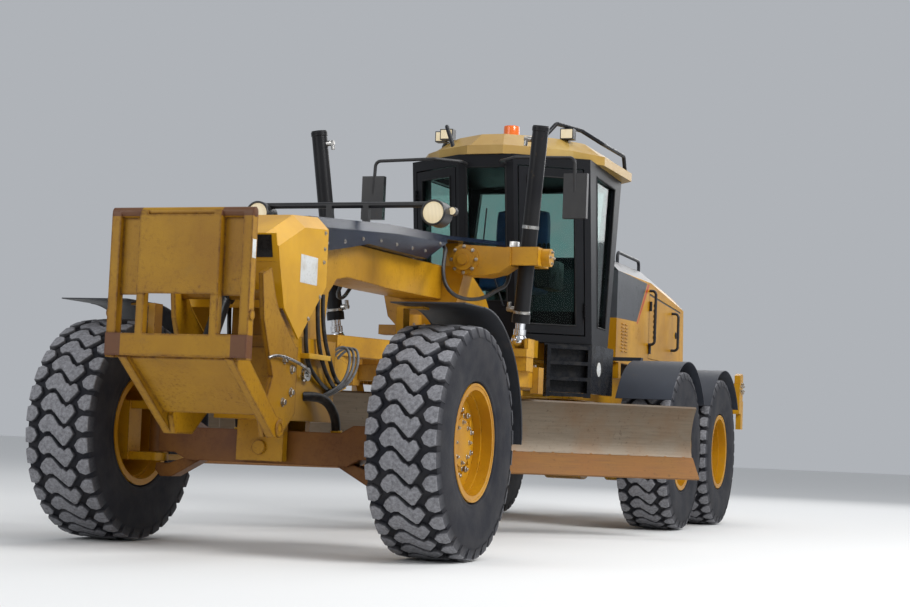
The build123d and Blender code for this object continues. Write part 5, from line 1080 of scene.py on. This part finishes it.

# The operator's place: a padded seat in blue woven cloth, its cushion sewn in three channels and its back in four, on
# a black pedestal between console boxes with levers.
seat_cloth, cloth_tree, cloth_shader, cloth_place = new_surface("seat_cloth", 0.9)
weave = cloth_tree.nodes.new("ShaderNodeTexWave")
weave.inputs["Scale"].default_value = 160.0
weave.inputs["Distortion"].default_value = 1.5
cloth_tree.links.new(cloth_place, weave.inputs["Vector"])
threads = weave.outputs["Fac"]
faded = between(cloth_tree, cloud(cloth_tree, cloth_place, 5.0), 0.35, 0.70)
cloth_colour = lay_over(cloth_tree, combine(cloth_tree, "MULTIPLY", threads, 0.5), (0.014, 0.045, 0.16),
                        (0.030, 0.075, 0.22))
cloth_colour = lay_over(cloth_tree, combine(cloth_tree, "MULTIPLY", faded, 0.3), cloth_colour, (0.06, 0.09, 0.15))
cloth_tree.links.new(cloth_colour, cloth_shader.inputs["Base Color"])
cloth_shader.inputs["Sheen Weight"].default_value = 0.3
cloth_relief = cloth_tree.nodes.new("ShaderNodeBump")
cloth_relief.inputs["Strength"].default_value = 0.4
cloth_relief.inputs["Distance"].default_value = 0.001
cloth_tree.links.new(threads, cloth_relief.inputs["Height"])
cloth_tree.links.new(cloth_relief.outputs["Normal"], cloth_shader.inputs["Normal"])
seat_y = front_axle_y + 4.420


def cushion(name, low, high, channel_axis, channels):
    """A crowned pad with sewn channels across it, rounded at its rim."""
    low, high = Vector(low), Vector(high)
    middle, half = (low + high) / 2, (high - low) / 2
    shape = bmesh.new()
    bmesh.ops.create_cube(shape, size=2.0)
    bmesh.ops.subdivide_edges(shape, edges=shape.edges[:], cuts=31, use_grid_fill=True)
    thick = min(range(3), key=lambda axis: half[axis])
    wide = [axis for axis in range(3) if axis != thick]
    for vert in shape.verts:
        point = vert.co.copy()
        reach = max(abs(point[wide[0]]), abs(point[wide[1]]))
        rim = (1.0 - max(0.0, (reach - 0.62) / 0.38) ** 2.6)
        seam = abs(math.sin((point[channel_axis] + 1.0) * 0.5 * math.pi * channels))
        puff = 0.62 + 0.38 * rim ** 0.5 if rim > 0 else 0.62
        place = point.copy()
        place[thick] = point[thick] * puff * (0.90 + 0.10 * min(1.0, seam * 2.4))
        for axis in wide:
            other = wide[1] if axis == wide[0] else wide[0]
            place[axis] = point[axis] * (0.985 - 0.05 * abs(point[other]) ** 4)
        vert.co = Vector(tuple(middle[axis] + place[axis] * half[axis] for axis in range(3)))
    piece = settle(name, shape, seat_cloth, "front_body", 60.0)
    return piece


seat_cushion = cushion("seat_cushion", (-0.240, seat_y - 0.260, 1.922), (0.240, seat_y + 0.240, 2.050), 1, 3)
seat_back = cushion("seat_back", (-0.230, seat_y + 0.132, 2.052), (0.230, seat_y + 0.250, 2.640), 2, 4)
console_black = plated_metal("console_black", (0.016, 0.016, 0.018), (0.040, 0.038, 0.035), 0.5, metallic=0.0)
consoles = bmesh.new()
soft_box(consoles, (-0.130, seat_y - 0.130, 1.5505), (0.130, seat_y + 0.130, 1.922), 0.020)
for side in (1.0, -1.0):
    near, far = sorted((side * 0.242, side * 0.375))
    soft_box(consoles, (near, seat_y - 0.230, 1.950), (far, seat_y + 0.180, 2.190), 0.022)
    for number in range(3):
        foot = Vector((side * (0.275 + 0.036 * number), seat_y - 0.185, 2.185))
        round_bar(consoles, foot, foot + Vector((0, -0.010, 0.075)), 0.006, 0.001, 12)
        turned_bar(consoles, foot + Vector((0, -0.010, 0.072)), foot + Vector((0, -0.015, 0.132)),
                   [(0.0, 0.009), (0.010, 0.0135), (0.046, 0.0150), (0.056, 0.011), (0.060, 0.005)], 18)
consoles_piece = settle("seat_consoles", consoles, console_black, "front_body")
for piece in (seat_cushion, seat_back, consoles_piece):
    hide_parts("operator_seat")

# The roof: a pressed and welded yellow roof with a shallow crown, a black guard rail down each side, work lamps
# under its front and an orange beacon on its middle.
roof_yellow = machine_paint("roof_yellow", (0.45, 0.30, 0.080), (0.37, 0.22, 0.048), rust=0.12, dust=0.25, edges=0.003,
                            roughness=0.34)
dress(["cab_roof"], roof_yellow)
dress(["steps_and_rails"], rail_black)
lamp_black = machine_paint("lamp_black", (0.014, 0.014, 0.016), (0.034, 0.033, 0.033), rust=0.1, dust=0.25,
                           edges=0.002, roughness=0.35)
paint_zones(lamp_black, [([(1.0, 0.0, 0.0, -0.080), (-1.0, 0.0, 0.0, -0.080), (0.0, 0.0, 1.0, 3.170),
                           (0.0, 1.0, 0.0, front_axle_y + 4.120), (0.0, -1.0, 0.0, -front_axle_y - 4.280)],
                          (0.82, 0.13, 0.01), 1.0)])
dress(["lamps"], lamp_black)
lens_glass, lens_tree, lens_shader, lens_place = new_surface("lens_glass", 0.16)
flutes = lens_tree.nodes.new("ShaderNodeTexWave")
flutes.inputs["Scale"].default_value = 34.0
lens_tree.links.new(lens_place, flutes.inputs["Vector"])
flute_relief = lens_tree.nodes.new("ShaderNodeBump")
flute_relief.inputs["Strength"].default_value = 0.6
flute_relief.inputs["Distance"].default_value = 0.002
lens_tree.links.new(flutes.outputs["Fac"], flute_relief.inputs["Height"])
lens_tree.links.new(flute_relief.outputs["Normal"], lens_shader.inputs["Normal"])
lens_tree.links.new(lay_over(lens_tree, flutes.outputs["Fac"], (0.16, 0.165, 0.16), (0.40, 0.39, 0.33)),
                    lens_shader.inputs["Base Color"])
lens_shader.inputs["Coat Weight"].default_value = 0.25
lens_shader.inputs["Emission Color"].default_value = (1.0, 0.80, 0.46, 1.0)
lens_shader.inputs["Emission Strength"].default_value = 0.55
beacon_amber, amber_tree, amber_shader, amber_place = new_surface("beacon_amber", 0.12)
ribs = amber_tree.nodes.new("ShaderNodeTexWave")
ribs.inputs["Scale"].default_value = 26.0
ribs.bands_direction = "Z"
amber_tree.links.new(amber_place, ribs.inputs["Vector"])
amber_tree.links.new(lay_over(amber_tree, ribs.outputs["Fac"], (0.80, 0.13, 0.01), (0.95, 0.22, 0.02)),
                     amber_shader.inputs["Base Color"])
amber_shader.inputs["Coat Weight"].default_value = 0.5
lamp_y = front_axle_y + 0.950
for side, word in ((1.0, "left"), (-1.0, "right")):
    face = Vector((side * 0.620, lamp_y - 0.0695, 2.120))
    lens = bmesh.new()
    turned_bar(lens, face, face - Vector((0, 0.010, 0)), [(0.0, 0.071), (0.004, 0.069), (0.008, 0.050), (0.010, 0.020),
                                                         (0.0102, 0.004)], 48)
    settle(f"headlamp_lens_{word}", lens, lens_glass, "front_body")
    bezel = bmesh.new()
    turned_bar(bezel, face + Vector((0, 0.004, 0)), face - Vector((0, 0.012, 0)), [(0.0, 0.0840), (0.010, 0.0838),
                                                                                  (0.016, 0.078), (0.016, 0.072), (0.006, 0.0705)], 48)
    settle(f"headlamp_bezel_{word}", bezel, lamp_black, "front_body")
    marker = bmesh.new()
    marker_face = Vector((side * 0.715, lamp_y + 0.0155, 2.140))
    turned_bar(marker, marker_face, marker_face - Vector((0, 0.006, 0)), [(0.0, 0.024), (0.003, 0.022), (0.006, 0.010)], 28)
    settle(f"marker_lens_{word}", marker, lens_glass, "front_body")
for number, (x, station) in enumerate(((0.520, 4.090), (-0.480, 3.990), (-0.560, 4.090))):
    work = bmesh.new()
    soft_box(work, (x - 0.047, front_axle_y + station - 0.044, 3.148), (x + 0.047, front_axle_y + station - 0.039, 3.220), 0.002)
    settle(f"work_lamp_lens_{number}", work, lens_glass, "front_body")
beacon = bmesh.new()
beacon_foot = Vector((0.0, front_axle_y + 4.200, 3.172))
turned_bar(beacon, beacon_foot, beacon_foot + Vector((0, 0, 0.107)),
           [(0.0, 0.0645), (0.030, 0.0655), (0.090, 0.0645), (0.104, 0.0632), (0.107, 0.0615)], 48)
settle("beacon_dome", beacon, beacon_amber, "front_body")
beacon_base = bmesh.new()
turned_bar(beacon_base, beacon_foot - Vector((0, 0, 0.030)), beacon_foot + Vector((0, 0, 0.004)),
           [(0.0, 0.0655), (0.003, 0.0675), (0.030, 0.0675), (0.034, 0.0655)], 48)
settle("beacon_base", beacon_base, plate_white, "front_body")

# The mirrors: convex glass in rounded black plastic shells on bent tube arms.
dress(["mirrors"], lamp_black)
mirror_silver = plated_metal("mirror_silver", (0.82, 0.84, 0.86), (0.70, 0.72, 0.74), 0.03)
for side, word in ((1.0, "left"), (-1.0, "right")):
    near, far = sorted((side * 0.752, side * 0.913))
    glass = bmesh.new()
    soft_box(glass, (near, front_axle_y + 3.338, 2.407), (far, front_axle_y + 3.3425, 2.728), 0.002)
    settle(f"mirror_glass_{word}", glass, mirror_silver, "front_body")

# The steps' case carries a blank round white reflector on each side, riveted on.
for side, word in ((1.0, "left"), (-1.0, "right")):
    place = Vector((side * 0.7598, front_axle_y + 4.390, 1.300))
    reflector = bmesh.new()
    turned_bar(reflector, place, place + Vector((side * 0.0035, 0, 0)), [(0.0, 0.058), (0.0025, 0.058), (0.0035, 0.055)],
               48)
    settle(f"step_reflector_{word}", reflector, plate_white, "front_body")

# The hydraulic hoses: black spiral-wound rubber with crimped steel ends. They leave the cover's tail for the
# saddle's cylinders and hang in a bundle under the nose, where three grey ones and a sleeved one join them.
hose_rubber, hose_tree, hose_shader, hose_place = new_surface("hose_rubber", 0.46)
hose_dust = between(hose_tree, cloud(hose_tree, hose_place, 24.0, 7.0), 0.46, 0.76)
hose_tree.links.new(lay_over(hose_tree, hose_dust, (0.012, 0.012, 0.013), (0.055, 0.048, 0.040)),
                    hose_shader.inputs["Base Color"])
hose_relief = hose_tree.nodes.new("ShaderNodeBump")
hose_relief.inputs["Strength"].default_value = 0.35
hose_relief.inputs["Distance"].default_value = 0.001
hose_tree.links.new(cloud(hose_tree, hose_place, 220.0, 2.0), hose_relief.inputs["Height"])
hose_tree.links.new(hose_relief.outputs["Normal"], hose_shader.inputs["Normal"])
hose_grey = plated_metal("hose_grey", (0.16, 0.165, 0.17), (0.08, 0.07, 0.06), 0.5, metallic=0.0)


def hose(name, diameter, material, route, body="front_body"):
    """A hose on one smooth curve through its route's points (x, station, height)."""
    curve = bpy.data.curves.new(name, "CURVE")
    curve.dimensions = "3D"
    curve.bevel_depth = diameter / 2
    curve.bevel_resolution = 3
    curve.use_fill_caps = True
    line = curve.splines.new("NURBS")
    line.points.add(len(route) - 1)
    for point, (x, station, height) in zip(line.points, route):
        point.co = (x, front_axle_y + station, height, 1.0)
    line.order_u = 3
    line.use_endpoint_u = True
    line.resolution_u = 8
    curve.materials.append(material)
    piece = bpy.data.objects.new(name, curve)
    bpy.context.scene.collection.objects.link(piece)
    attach(piece, body)
    x, station, height = route[0]


saddle_route = [(0.20, 2.20, 2.088), (0.20, 2.20, 2.05), (0.23, 2.17, 2.03), (0.29, 1.99, 1.97), (0.35, 1.802, 1.832),
                (0.39, 1.766, 1.732), (0.44, 1.816, 1.669), (0.49, 1.983, 1.656), (0.535, 2.166, 1.687),
                (0.57, 2.33, 1.76), (0.60, 2.455, 1.80), (0.62, 2.475, 1.95), (0.63, 2.49, 2.08)]
for side, word in ((1.0, "left"), (-1.0, "right")):
    hose(f"saddle_hose_{word}", 0.028, hose_rubber, [(side * x, y, z) for x, y, z in saddle_route])
clamp_yellow = machine_paint("clamp_yellow", (0.70, 0.40, 0.02), (0.50, 0.26, 0.015), rust=0.1, dust=0.2, edges=0.0)
braid_steel = plated_metal("braid_steel", (0.42, 0.42, 0.42), (0.12, 0.11, 0.10), 0.35)
bundle = [
    ("nose_hose_front", 0.92, 0.026, hose_rubber, [(0.25, -0.16, 1.46), (0.25, -0.16, 1.36), (0.25, -0.14, 1.20),
     (0.25, -0.10, 1.09), (0.255, 0.03, 1.01), (0.25, 0.18, 0.96), (0.21, 0.33, 0.95), (0.150, 0.40, 0.97)]),
    ("nose_hose_middle", 0.90, 0.026, hose_rubber, [(0.25, 0.00, 1.50), (0.25, 0.00, 1.40), (0.255, 0.03, 1.21),
     (0.27, 0.08, 1.09), (0.28, 0.15, 1.01), (0.26, 0.30, 0.96), (0.21, 0.42, 0.96), (0.150, 0.48, 0.99)]),
    ("nose_hose_rear", 0.90, 0.026, hose_rubber, [(0.25, 0.07, 1.52), (0.25, 0.07, 1.42), (0.26, 0.10, 1.25),
     (0.28, 0.15, 1.12), (0.29, 0.20, 1.03), (0.28, 0.32, 0.99), (0.22, 0.46, 0.99), (0.150, 0.54, 1.02)]),
    ("braided_hose", 0.65, 0.018, braid_steel, [(0.290, -0.70, 1.10), (0.310, -0.66, 1.12), (0.315, -0.50, 1.11),
     (0.310, -0.30, 1.08), (0.290, -0.16, 1.05), (0.260, -0.10, 1.04), (0.230, -0.08, 1.04)]),
    ("wheel_hose_sleeve", 0.46, 0.058, hose_rubber, [(0.215, -0.10, 0.905), (0.26, -0.02, 0.912),
     (0.30, 0.08, 0.89), (0.32, 0.16, 0.81), (0.32, 0.19, 0.74), (0.32, 0.20, 0.66)]),
]
for number in range(3):
    step = 0.026 * number
    bundle.append((f"wheel_hose_{number + 1}", 0.42 - step, 0.022, hose_rubber,
                   [(0.302 + 0.018 * number, 0.200, 0.700), (0.306 + 0.018 * number, 0.202, 0.640 + 0.4 * step),
                    (0.36, 0.200 - 0.8 * step, 0.612 + 0.9 * step), (0.46, 0.172 - 0.4 * step, 0.602 + 0.9 * step),
                    (0.57, 0.142, 0.606 + 0.9 * step), (0.63, 0.125, 0.612 + 0.9 * step), (0.64, 0.099, 0.615 + 0.9 * step)]))
    bundle.append((f"lever_hose_{number + 1}", 0.61, 0.018, hose_grey,
                   [(0.149, 0.40 + 0.075 * number, 1.16), (0.185, 0.42 + 0.075 * number, 1.215),
                    (0.25, 0.45 + 0.075 * number, 1.235), (0.295, 0.42 + 0.065 * number, 1.16),
                    (0.31, 0.34 + 0.055 * number, 1.05), (0.29, 0.26 + 0.04 * number, 0.97), (0.230, 0.17 + 0.03 * number, 0.92)]))
for side, word in ((1.0, "left"), (-1.0, "right")):
    for name, length, diameter, material, route in bundle:
        hose(f"{name}_{word}", diameter, material, [(side * x, y, z) for x, y, z in route])
    clamps = bmesh.new()
    near, far = sorted((side * 0.230, side * 0.288))
    soft_box(clamps, (near, front_axle_y - 0.165, 1.126), (far, front_axle_y + 0.145, 1.156), 0.004)
    turned_bar(clamps, (side * 0.320, front_axle_y + 0.1955, 0.692), (side * 0.320, front_axle_y + 0.1935, 0.714),
               [(0.0, 0.0335), (0.001, 0.0365), (0.020, 0.0365), (0.022, 0.0335)], 32)
    settle(f"hose_clamps_{word}", clamps, clamp_yellow, "front_body")
    pulley = bmesh.new()
    middle = Vector((side * 0.2302, front_axle_y - 0.11, 1.035))
    turned_bar(pulley, middle, middle + Vector((side * 0.030, 0, 0)), [(0.0, 0.042), (0.006, 0.042), (0.010, 0.032),
                                                                     (0.020, 0.032), (0.024, 0.042), (0.030, 0.040)], 40)
    round_bar(pulley, middle + Vector((side * 0.029, 0, 0)), middle + Vector((side * 0.040, 0, 0)), 0.016, 0.002, 24)
    settle(f"hose_guide_roller_{word}", pulley, gland_silver, "front_body")
    manifold = bmesh.new()
    near, far = sorted((side * 0.605, side * 0.662))
    soft_box(manifold, (near, front_axle_y + 2.462, 2.0595), (far, front_axle_y + 2.520, 2.122), 0.004)
    settle(f"yoke_manifold_{word}", manifold, gland_silver, "front_body")

low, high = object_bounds()
